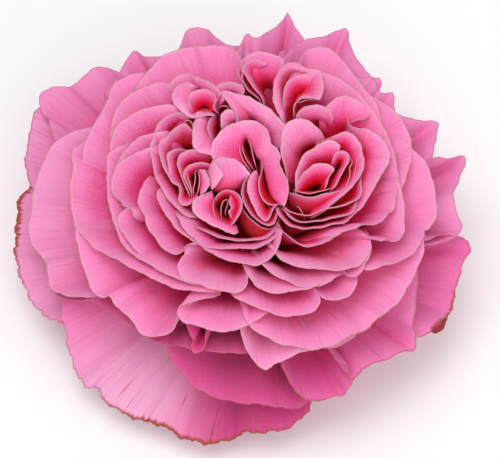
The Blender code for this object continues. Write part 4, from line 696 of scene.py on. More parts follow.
# The left quarter
LEFT_QUARTER_PETALS = {
    "left_outer": Petal(
        ((-15.6, 29, 3.4), (-17, 29.9, 2), (-18.8, 30.3, 1.2), (-20.6, 29.9, 0.8), (-22.6, 28.5, 0.5),
         (-24.1, 26.3, 0.3), (-24.9, 23.4, 0.2), (-25.7, 20.6, 0.2), (-25.8, 17.8, 0.3), (-25.3, 15.2, 0.6),
         (-24.6, 12.8, 1.6)),
        0.66, 40, middle=LEFT_QUARTER, flush=10, well=(-17.6, 19, 18, 0.55),
        lines=(
            ((-16.6, 27.4, 6), (-17.6, 28.2, 5), (-18.8, 28.4, 4.2), (-20, 28, 3.6), (-21.4, 26.8, 3.2),
             (-22.4, 25, 3), (-23, 22.8, 3), (-23.5, 20.4, 3), (-23.6, 18, 3.2), (-23.4, 15.6, 3.8),
             (-23, 13.6, 4.8)),
        )),
    "left_cup": Petal(
        ((-22.6, 18, 3), (-24, 16.9, 1.6), (-24.5, 15.2, 1), (-24.1, 13, 0.8), (-23.1, 10.7, 0.8),
         (-21.6, 8, 0.9), (-19.6, 5.5, 1), (-17.6, 3.9, 1.2), (-15.6, 3.2, 1.4), (-13.8, 3.2, 2.4)),
        0.72, 22, middle=LEFT_QUARTER, flush=12, pale=0.1, well=(-16.4, 11, 18, 0.5),
        lines=(
            ((-21.6, 16.8, 5), (-22.3, 15.8, 4.2), (-22.5, 14.4, 3.8), (-22, 12.6, 3.6), (-21, 10.6, 3.6),
             (-19.8, 8.4, 3.8), (-18.4, 6.6, 4), (-17, 5.4, 4.2), (-15.6, 4.8, 4.6), (-14.2, 4.6, 5.4)),
        )),
    "left_ring_back": Scrap(
        ((-17.6, 26.4, 3.6), (-17, 27.6, 2.6), (-15.9, 28.1, 2.2), (-15, 27.4, 2.2), (-14.7, 26.2, 2.8),
         (-14.6, 24.6, 4.2)),
        0.8, 60, middle=LEFT_QUARTER, flush=7, well=(-15.8, 22, 14, 0.8), ruffle=0.16),
    "left_ring": Petal(
        ((-14.4, 24.6, 3.6), (-15.4, 26, 2.2), (-17.1, 27.4, 1), (-18, 26.9, 0.8), (-19.4, 26.2, 0.6),
         (-21, 24.7, 0.5), (-22, 23.7, 0.4), (-23.2, 22.9, 0.3), (-23.6, 21, 0.3), (-23.2, 18.4, 0.4),
         (-22.3, 15.8, 0.6), (-21, 13.3, 0.9), (-20, 11.9, 1.2), (-18.5, 11.1, 1.4), (-18.2, 9.6, 1.6),
         (-18.5, 7.8, 1.6), (-18, 6.5, 1.6), (-16.6, 6.3, 1.7), (-15, 7, 1.9), (-13.4, 8.4, 2.2)),
        0.8, 40, middle=LEFT_QUARTER, curl=0.08, flush=9, pale=0.05, ruffle=0.04, billow=0.05,
        well=(-16, 15, 16, 0.7),
        lines=(
            ((-14.6, 21.6, 8.4), (-15.4, 22.2, 7.6), (-17.2, 21.9, 7.6), (-18.2, 21.9, 6.6),
             (-19.2, 21.8, 5.8), (-20.2, 21.4, 5), (-20.9, 20.8, 4.4), (-21.5, 20.2, 3.8), (-21.7, 19, 3.4),
             (-21.3, 17.3, 3.2), (-20.8, 15.5, 3.2), (-20, 13.8, 3.4), (-19, 12.4, 3.6), (-17.9, 11.4, 3.8),
             (-17.4, 10, 3.9), (-17.4, 8.8, 3.9), (-17, 7.9, 4), (-16, 7.8, 4), (-15, 8.2, 4.2),
             (-13.8, 9.2, 4.4)),
        )),
    "left_second": Petal(
        ((-13.6, 20, 3.4), (-16, 20.3, 2.2), (-18.4, 20.7, 1.5), (-20.4, 20.4, 1.2), (-21.5, 19.2, 1.1),
         (-21.2, 17.2, 1.3), (-21, 14.8, 1.6), (-20.1, 12.8, 2), (-18.6, 11.4, 2.4), (-17.8, 9.8, 2.8)),
        0.84, 60, middle=LEFT_QUARTER, curl=0.06, flush=7, ruffle=0.04, billow=0.03,
        well=(-15.8, 14, 15, 0.6),
        lines=(
            ((-13.9, 19, 6), (-16, 19, 5), (-18, 19.3, 4), (-19.3, 18.8, 3.6), (-19.7, 17.8, 3.4),
             (-19.4, 16.3, 3.6), (-19.1, 14.4, 4), (-18.4, 12.7, 4.4), (-17.6, 11.3, 4.8), (-17, 9.9, 5.4)),
        )),
    "left_shelf": Petal(
        ((-9.6, 19.6, 2.6), (-12, 20.3, 1.6), (-14.4, 20.5, 1.2), (-16.6, 20.3, 1), (-18.1, 19.3, 1),
         (-18.8, 17.4, 1.2), (-18.4, 15.2, 1.6), (-17.5, 12.8, 2), (-16.5, 10.6, 2.4), (-15.6, 8.4, 2.8)),
        0.86, 66, middle=LEFT_QUARTER, curl=0.06, flush=8, ruffle=0.04, billow=0.03,
        well=(-13.6, 12, 14, 0.6),
        lines=(
            ((-9.8, 17.4, 6), (-12, 17.8, 5), (-14.2, 17.9, 4.4), (-16, 17.6, 4), (-16.9, 17, 3.8),
             (-17.3, 15.9, 3.8), (-17, 14.4, 4.2), (-16.5, 12.6, 4.8), (-15.9, 10.9, 5.4), (-15.2, 9, 6)),
        )),
    "left_hood": Petal(
        ((-9.6, 16.6, 2), (-11.4, 17.1, 1.4), (-13.4, 17.2, 1.2), (-15.2, 16.7, 1.2), (-16.8, 15.7, 1.4),
         (-17.2, 14.1, 1.8), (-16.5, 12.2, 2.2), (-15.7, 10.4, 2.6), (-15, 8.6, 3.2)),
        0.9, 74, middle=LEFT_QUARTER, curl=0.06, flush=5, ruffle=0.03, billow=0.03,
        well=(-12.6, 11.6, 13, 0.65),
        lines=(
            ((-9.8, 15.2, 4.6), (-11.4, 15.6, 4), (-13.2, 15.7, 3.6), (-14.6, 15.3, 3.4), (-15.7, 14.5, 3.6),
             (-16, 13.4, 4), (-15.6, 12, 4.6), (-15.1, 10.5, 5.2), (-14.7, 9, 5.8)),
        )),
    "left_ribbon_a": Scrap(
        ((-16.6, 15.4, 3), (-16.2, 13.6, 2.4), (-15.6, 11.6, 2.3), (-15.2, 9.8, 2.6), (-15.2, 8.2, 3.2)),
        0.93, 70, middle=(-12.5, 12), flush=5, well=(-12.8, 11.6, 12, 0.6)),
    "left_ribbon_b": Scrap(
        ((-14.3, 15.2, 2.8), (-14.2, 13.4, 2.2), (-14.4, 11.6, 2.1), (-14.7, 10, 2.4), (-14.6, 8.6, 3)),
        0.94, 72, middle=(-11.5, 12), flush=5, well=(-12.8, 11.6, 12, 0.6)),
    "left_ribbon_c": Scrap(
        ((-14, 15.3, 2.4), (-13.4, 14.6, 1.7), (-13.1, 13, 1.5), (-13.2, 11.2, 1.6), (-13.5, 9.6, 2),
         (-13.8, 8.6, 2.8)),
        0.95, 60, middle=(-10.5, 12), flush=7, well=(-12.4, 12, 11, 0.6)),
    "left_leaflet": Scrap(
        ((-13.4, 15.4, 2), (-12.2, 15.4, 1.2), (-11.2, 14.3, 0.8), (-10.7, 12.6, 0.8), (-11, 10.8, 1.1),
         (-12, 9.5, 1.6), (-13, 8.9, 2.4)),
        0.95, 30, middle=(-14, 12), curl=0.08, flush=12, pale=0.1, well=(-13, 12, 11, 0.4),
        lines=(
            ((-13.2, 14.6, 3.2), (-12.6, 14.2, 2.4), (-12.2, 13.3, 2.1), (-12, 12.2, 2.1), (-12.2, 11, 2.4),
             (-12.7, 10.2, 2.8), (-13.1, 9.6, 3.4)),
        )),
    "left_sliver": Scrap(
        ((-11.8, 15.6, 2.4), (-10.8, 14.6, 1.6), (-10.2, 13.2, 1.4), (-10, 11.8, 1.6), (-10.2, 10.4, 2.4)),
        0.95, 50, middle=(-13, 12), flush=8, well=(-12.6, 12, 11, 0.4)),
    "left_curtain": Petal(
        ((-12.4, 30.4, 3.4), (-13.9, 30.1, 2.2), (-14.5, 28.4, 1.6), (-14.9, 26, 1.1), (-15, 23.4, 0.9),
         (-14.5, 21.4, 0.9), (-13, 20, 1.1), (-11.4, 19.6, 1.4), (-9.7, 19.3, 2)),
        0.8, 20, middle=(-9, 25), flush=22, pale=0.1, well=(-9.2, 25.6, 15, 0.6),
        lines=(
            ((-11.5, 29.6, 4), (-11.4, 28.8, 3.4), (-11.4, 27.4, 3), (-11.4, 25.9, 2.8), (-11, 24.6, 2.7),
             (-10.5, 23.6, 2.7), (-10, 22.8, 2.8), (-9.6, 22.2, 3), (-9.2, 21.6, 3.4)),
            ((-12, 30.1, 3.2), (-12.8, 29.6, 2), (-13.2, 28, 1.4), (-13.4, 26, 1), (-13.3, 23.9, 1),
             (-12.8, 22.2, 1.1), (-11.8, 21, 1.3), (-10.7, 20.6, 1.6), (-9.5, 20.2, 2.2)),
        )),
    "left_curtain_inner": Scrap(
        ((-8.9, 29.9, 3.4), (-9.9, 29, 2.6), (-10.8, 27.7, 2.1), (-11.1, 26.2, 2.1), (-10.5, 24.7, 2.3),
         (-9.7, 23.2, 2.8)),
        0.84, 40, middle=(-7, 26), curl=0.1, flush=9, pale=0.05, ruffle=0.04, well=(-8, 26.6, 14, 0.6),
        lines=(
            ((-8.7, 29.2, 5), (-9.2, 28.4, 4.4), (-9.6, 27.4, 4), (-9.8, 26.2, 4), (-9.5, 25, 4.4),
             (-9.1, 23.8, 5)),
        )),
}

# The folded arch, the swirl beside it and the small rolled heart
HEART_PETALS = {
    "arch": Petal(
        ((-9.5, 17.2, 2.5), (-10, 19.8, 1.8), (-9.6, 22.6, 1.2), (-7.8, 25.1, 0.8), (-4.6, 27.3),
         (-1, 28.2, 0.4), (2.4, 27.6, 0.4), (4.6, 25.6, 0.4), (5.2, 23.6), (5.6, 22.4), (7, 21.3), (7.9, 19),
         (7.7, 17.3), (8.7, 14.9), (9.8, 12.3, 0.6), (10, 9.2, 0.8), (8.8, 5.8, 1.6)),
        0.84, 16, drop=0.5, middle=(0, 17), curl=0.15, flush=22, ruffle=0.08, billow=0.1,
        well=(1.8, 15.6, 12, 0.75), deep=(0, 0, 0, 0, 0, 0.05, 0.12, 0.12),
        lines=(
            ((-2.2, 16.2, 3.6), (-2.8, 18.2, 3.4), (-3.2, 20.6, 3), (-3.1, 23, 2.6), (-2.2, 24.7, 2.4),
             (-0.6, 24.7, 1.8), (0.9, 23.3, 1.4), (2, 21.4, 1), (2.6, 20.2, 0.9), (3.1, 19.5, 0.8),
             (4, 18.7, 0.7), (4.9, 17.4, 0.6), (5.4, 16, 0.6), (6, 13.8, 0.6), (6.7, 11.4, 0.6),
             (7.3, 9, 0.8), (7.7, 6.6, 1.6)),
            ((-6, 17, 2.8), (-6.5, 19.2, 2.5), (-6.8, 21.9, 2.2), (-5.8, 24, 2), (-3.6, 25.9, 1.6),
             (-0.8, 26.4, 1.2), (1.9, 25.5, 0.7), (3.4, 23.7, 0.1), (4, 22, 0), (4.5, 20.9, -0.1),
             (5.6, 20, -0.1), (6.5, 18.4, -0.1), (6.6, 16.8, -0.1), (7.4, 14.5, -0.1), (8.3, 12, 0),
             (8.7, 9.1, 0.2), (8.3, 6.2, 1.4)),
        )),
    "arch_ribbon_a": Scrap(
        ((-2.6, 24.4, 3.4), (-2.8, 22, 3), (-2.5, 19.6, 3), (-1.5, 17.4, 3.4), (-0.3, 15.7, 4),
         (0.5, 14.6, 4.8)),
        0.92, 70, middle=(2, 19), flush=5, ruffle=0.04, well=(1, 19, 12, 0.7)),
    "arch_ribbon_b": Scrap(
        ((-2, 23.2, 4.4), (-1.9, 21.2, 3.8), (-1.4, 19.2, 3.8), (-0.4, 17.3, 4.2), (0.6, 15.8, 4.8),
         (1.1, 14.8, 5.6)),
        0.93, 70, middle=(2, 19), flush=4, ruffle=0.04, well=(1, 18.6, 12, 0.7)),
    "arch_ribbon_c": Scrap(
        ((-1.1, 24, 3.6), (-0.2, 22.8, 2.8), (0.4, 21, 2.6), (0.8, 19, 2.8), (1.2, 17.2, 3.3),
         (1.7, 15.6, 4)),
        0.93, 74, middle=(-2, 19), flush=4, ruffle=0.04, well=(-0.8, 18.6, 12, 0.75)),
    "arch_ribbon_d": Scrap(
        ((-0.2, 24.2, 2.8), (1.1, 22.7, 2), (1.9, 20.8, 1.8), (2.6, 18.8, 2), (3.1, 16.8, 2.4), (3.1, 15, 3),
         (2.8, 13.8, 4)),
        0.92, 60, middle=(-2, 19), flush=6, ruffle=0.04, well=(-0.6, 18.2, 12, 0.7)),
    "centre_face": Petal(
        ((-9.8, 16.6, 2.4), (-9.2, 18, 1.5), (-7.8, 18.6, 1.1), (-6, 18.6, 0.9), (-4, 18.1, 0.8),
         (-2.3, 17, 0.9), (-0.9, 15.6, 1.2), (0.1, 14.3, 1.8), (0.2, 13.3, 2.8)),
        0.92, 30, middle=(-5, 10), curl=0.12, flush=18, pale=0.1, ruffle=0.05, billow=0.1,
        well=(-5.2, 8.4, 12, 0.6),
        lines=(
            ((-9.4, 10.6, 3.6), (-8.4, 10.9, 3), (-7.2, 11.1, 2.7), (-5.8, 11.2, 2.7), (-4.4, 11.1, 3.2),
             (-3.3, 11, 4), (-2.6, 10.9, 5), (-2.2, 10.9, 6), (-2, 10.8, 7)),
            ((-9.5, 14.2, 2.2), (-8.6, 14.8, 1.5), (-7.2, 15, 1.1), (-5.6, 15, 1), (-4, 14.6, 1.2),
             (-2.8, 13.9, 1.7), (-1.9, 13.2, 2.4), (-1.3, 12.7, 3.4), (-1, 12.2, 4.6)),
        )),
    "centre_flap": Scrap(
        ((-9.6, 18.2, 1.3), (-8.5, 16.5, 0.5), (-7, 14.3, 0.2), (-8, 12.6, 0.6), (-9.9, 10, 1.8)),
        0.92, 4, middle=(-14, 14), curl=0.1, flush=30, pale=0.2, well=(-10, 14, 9, 0.6),
        lines=(
            ((-9.8, 17.8, 1.8), (-9.8, 16, 1.5), (-9.9, 14.2, 1.4), (-9.9, 12.4, 1.6), (-10, 10.4, 2.2)),
        )),
    "swirl_front": Scrap(
        ((-2.9, 9, 4.4), (-2.2, 6, 4), (-0.6, 3.6, 4), (1.4, 1.6, 4.2), (3.4, 0.4, 4.4), (5.2, 0.1, 4.4),
         (6.8, 1.2, 4.4), (7.8, 3.4, 5)),
        0.86, 60, middle=SWIRL, flush=3, well=(2.4, 3, 18, 0.7),
        lines=(
            ((-3, 4, 12), (-2.2, 1.2, 12), (-0.8, -0.8, 12), (1, -2.2, 12), (3, -2.8, 12), (5, -2.6, 12),
             (6.8, -1.6, 12), (8, 0, 12)),
        )),
    "swirl_outer": Scrap(
        ((0.3, 14.2, 2.6), (-1.1, 12.7, 1.8), (-2, 10.8, 1.5), (-2.1, 8.8, 1.6), (-1.3, 6.5, 2),
         (0.1, 4.3, 2.4), (1.8, 2.4, 2.8), (3.6, 1.3, 3), (5, 0.9, 3), (6.2, 1.6, 2.8), (6.9, 3.2, 2.6),
         (7.3, 5, 2.6)),
        0.9, 60, middle=SWIRL, curl=0.1, flush=6, ruffle=0.05, well=(2.6, 8, 14, 0.5),
        lines=(
            ((0.9, 13.4, 6), (-0.2, 12.2, 5), (-0.9, 10.6, 4.6), (-0.9, 8.9, 4.6), (-0.2, 7, 4.8),
             (0.9, 5.2, 5), (2.2, 3.6, 5.4), (3.6, 2.7, 5.6), (4.8, 2.4, 5.6), (5.6, 3, 5.6), (6.1, 4.2, 5.6),
             (6.4, 5.4, 5.6)),
        )),
    "swirl_middle": Scrap(
        ((1.8, 15.4, 2.8), (0.3, 14, 1.8), (-0.6, 12.1, 1.3), (-0.5, 9.8, 1.2), (0.3, 7.4, 1.4),
         (1.5, 5, 1.8), (2.9, 2.9, 2.2), (4.1, 2.1, 2.4), (5, 2.8, 2.3), (5.6, 4.4, 2), (6.4, 5.9, 1.7),
         (7.4, 6.6, 1.5), (8.4, 6.2, 1.8)),
        0.92, 40, middle=SWIRL, curl=0.1, flush=8, pale=0.05, ruffle=0.04, well=(4, 9, 13, 0.5),
        lines=(
            ((2.2, 14.1, 3.8), (1.3, 12.9, 2.8), (0.8, 11.4, 2.4), (1, 9.6, 2.4), (1.7, 7.8, 2.7),
             (2.7, 6, 3.3), (3.7, 4.5, 4.2), (4.4, 4.1, 5), (4.9, 4.5, 5.2), (5.4, 5.2, 5), (6.1, 6, 4.8),
             (7.1, 6.4, 4.6), (8, 6.1, 4.8)),
        )),
    "swirl_tear": Scrap(
        ((3.1, 14.9, 3.2), (2.5, 13, 2.2), (2.3, 11, 1.9), (2.7, 9.2, 1.9), (3.5, 7.6, 2), (4.8, 6.5, 2.2),
         (6.2, 6.2, 2.4), (7.4, 6.7, 2.8)),
        0.94, 50, middle=(5, 11), curl=0.1, flush=3, ruffle=0.04, well=(6, 10.6, 14, 0.5),
        lines=(
            ((3.8, 14, 7), (3.5, 12.6, 6), (3.5, 11, 5.6), (3.9, 9.6, 5.6), (4.6, 8.4, 6), (5.6, 7.6, 6.6),
             (6.6, 7.3, 7.4), (7.3, 7.3, 8.4)),
        )),
    "heart_lip": Petal(
        ((-9.8, 10, 3.6), (-11.6, 9.3, 2.6), (-13.4, 8.6, 2), (-14.7, 7.3, 1.5), (-14.9, 5.4, 1.4),
         (-14.2, 3.7, 1.5), (-12, 2.3, 1.6), (-9.6, 0.9, 1.8), (-7.4, -0.1, 2), (-5.6, -0.9, 2.3),
         (-4, -1.3, 3), (-2.9, -0.8, 4.2)),
        0.86, 20, middle=HEART, curl=0.15, flush=12, pale=0.05, ruffle=0.06, billow=0.1,
        well=(-7, 5.4, 14, 0.6),
        lines=(
            ((-9.3, 8.2, 4.2), (-9.7, 7.6, 3.8), (-10.1, 7, 3.5), (-10.3, 6.3, 3.4), (-10.2, 5.4, 3.5),
             (-9.8, 4.6, 3.7), (-9.2, 3.8, 3.9), (-8.4, 3, 4.1), (-7.4, 2.2, 4.3), (-6.4, 1.6, 4.6),
             (-5.4, 1.3, 5.2), (-4.6, 1.4, 6.2)),
            ((-9.6, 9.1, 3.3), (-10.9, 8.4, 2.6), (-12.1, 7.7, 2.1), (-12.8, 6.9, 1.9), (-12.8, 5.6, 1.8),
             (-12.3, 4.5, 1.9), (-10.9, 3.4, 2.1), (-9.2, 2.3, 2.3), (-7.4, 1.3, 2.5), (-5.8, 0.6, 2.8),
             (-4.4, 0.3, 3.6), (-3.4, 0.7, 4.8)),
        )),
    "heart_left": Scrap(
        ((-8.8, 8.6, 3.4), (-9.5, 7, 2.6), (-9.5, 5, 2.4), (-9, 3.4, 2.6), (-8.2, 2.2, 3.4)),
        0.95, 70, middle=HEART, flush=5, well=(-6.4, 5.4, 12, 0.7)),
    "heart_ring": Scrap(
        ((-9, 7.4, 3.2), (-8.6, 8.6, 2.2), (-7.3, 9.6, 1.6), (-5.4, 10, 1.3), (-3.7, 9.4, 1.2),
         (-2.5, 8.1, 1.2), (-2.1, 6.4, 1.3), (-2.4, 4.6, 1.6), (-3.3, 2.9, 2.2), (-4.4, 1.5, 3),
         (-5.4, 0.8, 4)),
        0.96, 66, middle=HEART, curl=0.08, flush=5, ruffle=0.04, well=(-6, 5.4, 14, 0.5),
        lines=(
            ((-8.2, 6.8, 6.6), (-7.9, 7.5, 6), (-7, 8.3, 5.4), (-5.6, 8.5, 5), (-4.4, 8, 4.8),
             (-3.6, 7.1, 4.8), (-3.4, 6, 4.8), (-3.6, 4.9, 5), (-4.3, 3.8, 5.4), (-5, 2.8, 6),
             (-5.7, 2.2, 6.8)),
        )),
    "heart_lobe": Scrap(
        ((-4.8, 9.1, 3.6), (-5.3, 8, 2.9), (-5.3, 6.7, 2.6), (-4.8, 5.6, 2.5), (-5.5, 4.5, 2.6),
         (-5.1, 3.4, 3), (-4.4, 2.2, 3.8)),
        0.97, 30, middle=(-8, 5), curl=0.04, flush=8, well=(-5, 5.4, 13, 0.5),
        lines=(
            ((-3.9, 8.4, 6), (-3.6, 7.5, 5.4), (-3.4, 6.5, 5.2), (-3.3, 5.5, 5.2), (-3.6, 4.5, 5.6),
             (-4, 3.5, 6), (-4.2, 2.7, 6.6)),
        )),
    "heart_roll": Scrap(
        ((-7.3, 2.6, 4.6), (-7.5, 4, 3.8), (-7.4, 5.8, 3.4), (-6.7, 7.4, 3.2), (-5.8, 7.6, 3.4),
         (-5.9, 6.2, 3.8), (-6.4, 4.6, 4.4), (-6.4, 3.4, 5)),
        1.0, 80, middle=(-6.6, 5), curl=0.04, flush=4, ruffle=0.02, well=(-6.6, 5, 13, 0.6)),
}


def chord_knots(points: np.ndarray) -> np.ndarray:
    """How far along a line each of its points lies, added up from point to point."""
    return np.concatenate([[0.0], np.cumsum(np.linalg.norm(np.diff(points, axis=0), axis=1))])


def hermite(t: np.ndarray, width: np.ndarray, ends: tuple, slopes: tuple) -> np.ndarray:
    """Cubic Hermite span: it leaves its first end at the first slope and reaches its second at the second.

    Args:
        t: Where to read it, 0 to 1.
        width: How far apart its ends count as lying.
        ends: Its two ends.
        slopes: Its slopes at them, per unit of width.

    Returns:
        Its points.
    """
    return (
        (2 * t**3 - 3 * t**2 + 1) * ends[0]
        + (t**3 - 2 * t**2 + t) * width * slopes[0]
        + (3 * t**2 - 2 * t**3) * ends[1]
        + (t**3 - t**2) * width * slopes[1]
    )


def along(points: np.ndarray, share: np.ndarray, knots: np.ndarray = None) -> np.ndarray:
    """Reads a smooth curve through points: cubic Hermite spans whose slope at a point is that of the chord
    between its two neighbours.

    Args:
        points: The points that the curve goes through, n x 2 or n x 3.
        share: Where to read it, as shares 0 to 1 of its knots.
        knots: How far along each point counts as lying, or None for its own chord length.

    Returns:
        One point for each share.
    """
    knots = chord_knots(points) if knots is None else knots
    slopes = np.gradient(points, knots, axis=0)
    place = share * knots[-1]
    span = np.clip(np.searchsorted(knots, place, side="right") - 1, 0, len(knots) - 2)
    width = (knots[span + 1] - knots[span])[:, None]
    t = (place[:, None] - knots[span][:, None]) / width
    return hermite(t, width, (points[span], points[span + 1]), (slopes[span], slopes[span + 1]))


def dome_height(a: np.ndarray, b: np.ndarray) -> np.ndarray:
    """Height of the dome over sketch points: flat in the middle, then falling as a power of the share of the
    way to the outline, most at the front.

    Args:
        a: Millimetres right of the sketch's centre.
        b: Millimetres up from it.

    Returns:
        Heights in metres.
    """
    right, up = a - FACE[0], b - FACE[1]
    reach = np.hypot(right, up)
    turn = np.arctan2(up, right)
    fall = (DOME_FALL[0] - DOME_FALL[1] * np.sin(turn)) * MM
    edge = DOME_REACH[0] - DOME_REACH[1] * np.sin(turn) + DOME_REACH[2] * np.cos(turn) ** 2
    start = DOME_FLAT * edge
    share = np.clip((reach - start) / (edge - start), 0, 1.02)
    return FACE_HEIGHT - fall * share**DOME_POWER


def from_sketch(a: np.ndarray, b: np.ndarray, height: np.ndarray) -> np.ndarray:
    """Follows sketch points along the eye's rays onto given heights.

    Args:
        a: Millimetres right of the sketch's centre.
        b: Millimetres up from it.
        height: Heights in metres to which the rays are followed.

    Returns:
        Places in space, in metres.
    """
    a, b = a * MM, b * MM
    sine, cosine = math.sin(SKETCH_TILT), math.cos(SKETCH_TILT)
    rise = height - SKETCH_CENTRE[2]
    depth = (b * (1 - rise * sine / SKETCH_DISTANCE) - rise * cosine) / (sine - b * cosine / SKETCH_DISTANCE)
    nearness = rise * sine - depth * cosine
    across = a * (1 - nearness / SKETCH_DISTANCE)
    return np.stack([SKETCH_CENTRE[0] + across, SKETCH_CENTRE[1] + depth, height], axis=-1)


def buried(points: np.ndarray) -> np.ndarray:
    """How far in mm points lie under the dome, each looked up where the eye sees it on the sketch.

    Args:
        points: Points in metres along the first axes, x, y and z along the last.

    Returns:
        One depth for each point, less than 0 above the dome.
    """
    right, depth, rise = np.moveaxis(points - SKETCH_CENTRE, -1, 0)
    sine, cosine = math.sin(SKETCH_TILT), math.cos(SKETCH_TILT)
    scale = MM * (1 - (rise * sine - depth * cosine) / SKETCH_DISTANCE)
    return (dome_height(right / scale, (depth * sine + rise * cosine) / scale) - points[..., 2]) / MM


def smooth(value: np.ndarray) -> np.ndarray:
    """Eases 0..1 in and out as 3v² - 2v³, clipped outside."""
    v = np.clip(value, 0, 1)
    return v * v * (3 - 2 * v)


@dataclass
class Skin:
    """The faces of closed shells with what their material reads at each point.

    place is the distance along the rim in mm, the distance from the rim in mm and how far into the bloom the
    point is, from 0 at a rim to 1 at the darkest claws: partly the petal's own deeper colour inwards and
    partly painted shade of its folds and of where it lies deep under others. look is how mauve, how pale and
    how worn it is there.
    """

    points: np.ndarray
    quads: np.ndarray
    triangles: np.ndarray
    place: np.ndarray
    look: np.ndarray

    @staticmethod
    def joined(skins: list) -> "Skin":
        """Several skins as one, each one's faces counted on from the points before it.

        Args:
            skins: The skins, in order.

        Returns:
            The one skin.
        """
        starts = np.cumsum([0] + [len(skin.points) for skin in skins[:-1]])
        return Skin(
            np.concatenate([skin.points for skin in skins]),
            np.concatenate([skin.quads + start for skin, start in zip(skins, starts)]),
            np.concatenate([skin.triangles + start for skin, start in zip(skins, starts)]),
            np.concatenate([skin.place for skin in skins]),
            np.concatenate([skin.look for skin in skins]),
        )

    def mesh(self, name: str) -> bpy.types.Mesh:
        """Makes the mesh, smooth, with its two attributes.

        Args:
            name: The mesh's name.

        Returns:
            The new mesh.
        """
        made = bpy.data.meshes.new(name)
        corners = np.concatenate([self.quads.ravel(), self.triangles.ravel()])
        starts = np.concatenate([
            np.arange(len(self.quads)) * 4,
            self.quads.size + np.arange(len(self.triangles)) * 3,
        ])
        made.vertices.add(len(self.points))
        made.vertices.foreach_set("co", self.points.ravel())
        made.loops.add(len(corners))
        made.loops.foreach_set("vertex_index", corners)
        made.polygons.add(len(starts))
        made.polygons.foreach_set("loop_start", starts)
        made.polygons.foreach_set("use_smooth", np.ones(len(starts), dtype=bool))
        made.update(calc_edges=True)
        for label, values in (("petal_place", self.place), ("petal_look", self.look)):
            made.attributes.new(label, "FLOAT_VECTOR", "POINT").data.foreach_set("vector", values.ravel())
        return made


def closed_shell(surface: np.ndarray, thickness: np.ndarray, upper: np.ndarray, place: np.ndarray,
                 look: np.ndarray, under: np.ndarray) -> Skin:
    """Gives a surface a thickness and closes it all round, with a rounded edge at its last row.

    The shell is one sleeve of rows: up the upper face from the first row to the last, over an edge row set
    half the thickness further on, and down the lower face. Its ends and its first row are then closed.

    Args:
        surface: The middle surface, rows x columns x 3.
        thickness: Its thickness in metres at each point, rows x columns.
        upper: The unit normal of its upper face at each point, rows x columns x 3.
        place: What the material reads as place at each point, rows x columns x 3.
        look: What it reads as look on the upper face, rows x columns x 3.
        under: What it reads as look on the lower face, rows x columns x 3.

    Returns:
        The closed skin.
    """
    rows, columns = surface.shape[:2]
    half = thickness[..., None] / 2
    onward = surface[-1] - surface[-2]
    onward /= np.linalg.norm(onward, axis=1)[:, None] + 1e-12
    edge = surface[-1] + onward * half[-1]
    sleeve = np.concatenate([surface + upper * half, edge[None], (surface - upper * half)[::-1]])
    index = np.arange((2 * rows + 1) * columns).reshape(2 * rows + 1, columns)

    def strip(first: np.ndarray, second: np.ndarray) -> np.ndarray:
        """Quads between two lines of points, each turned from the first line to the second."""
        return np.stack([first[:-1], first[1:], second[1:], second[:-1]], axis=-1).reshape(-1, 4)

    near, far = index[:rows], index[::-1][:rows]
    quads = np.concatenate([
        np.stack([index[:-1, :-1], index[:-1, 1:], index[1:, 1:], index[1:, :-1]], axis=-1).reshape(-1, 4),
        strip(index[-1], index[0]),
        strip(near[:, 0], far[:, 0]),
        strip(far[:, -1], near[:, -1]),
    ])
    triangles = np.array([
        [index[rows - 1, 0], index[rows, 0], index[rows + 1, 0]],
        [index[rows - 1, -1], index[rows + 1, -1], index[rows, -1]],
    ])
    across, along_blade = np.gradient(surface, axis=1), np.gradient(surface, axis=0)
    if np.sum(np.cross(across, along_blade) * upper) < 0:
        quads, triangles = quads[:, ::-1], triangles[:, ::-1]
    sides = [
        np.concatenate([face, face[-1:], beneath[::-1]]).reshape(-1, 3)
        for face, beneath in ((place, place), (look, under))
    ]
    return Skin(sleeve.reshape(-1, 3), quads, triangles, sides[0], sides[1])


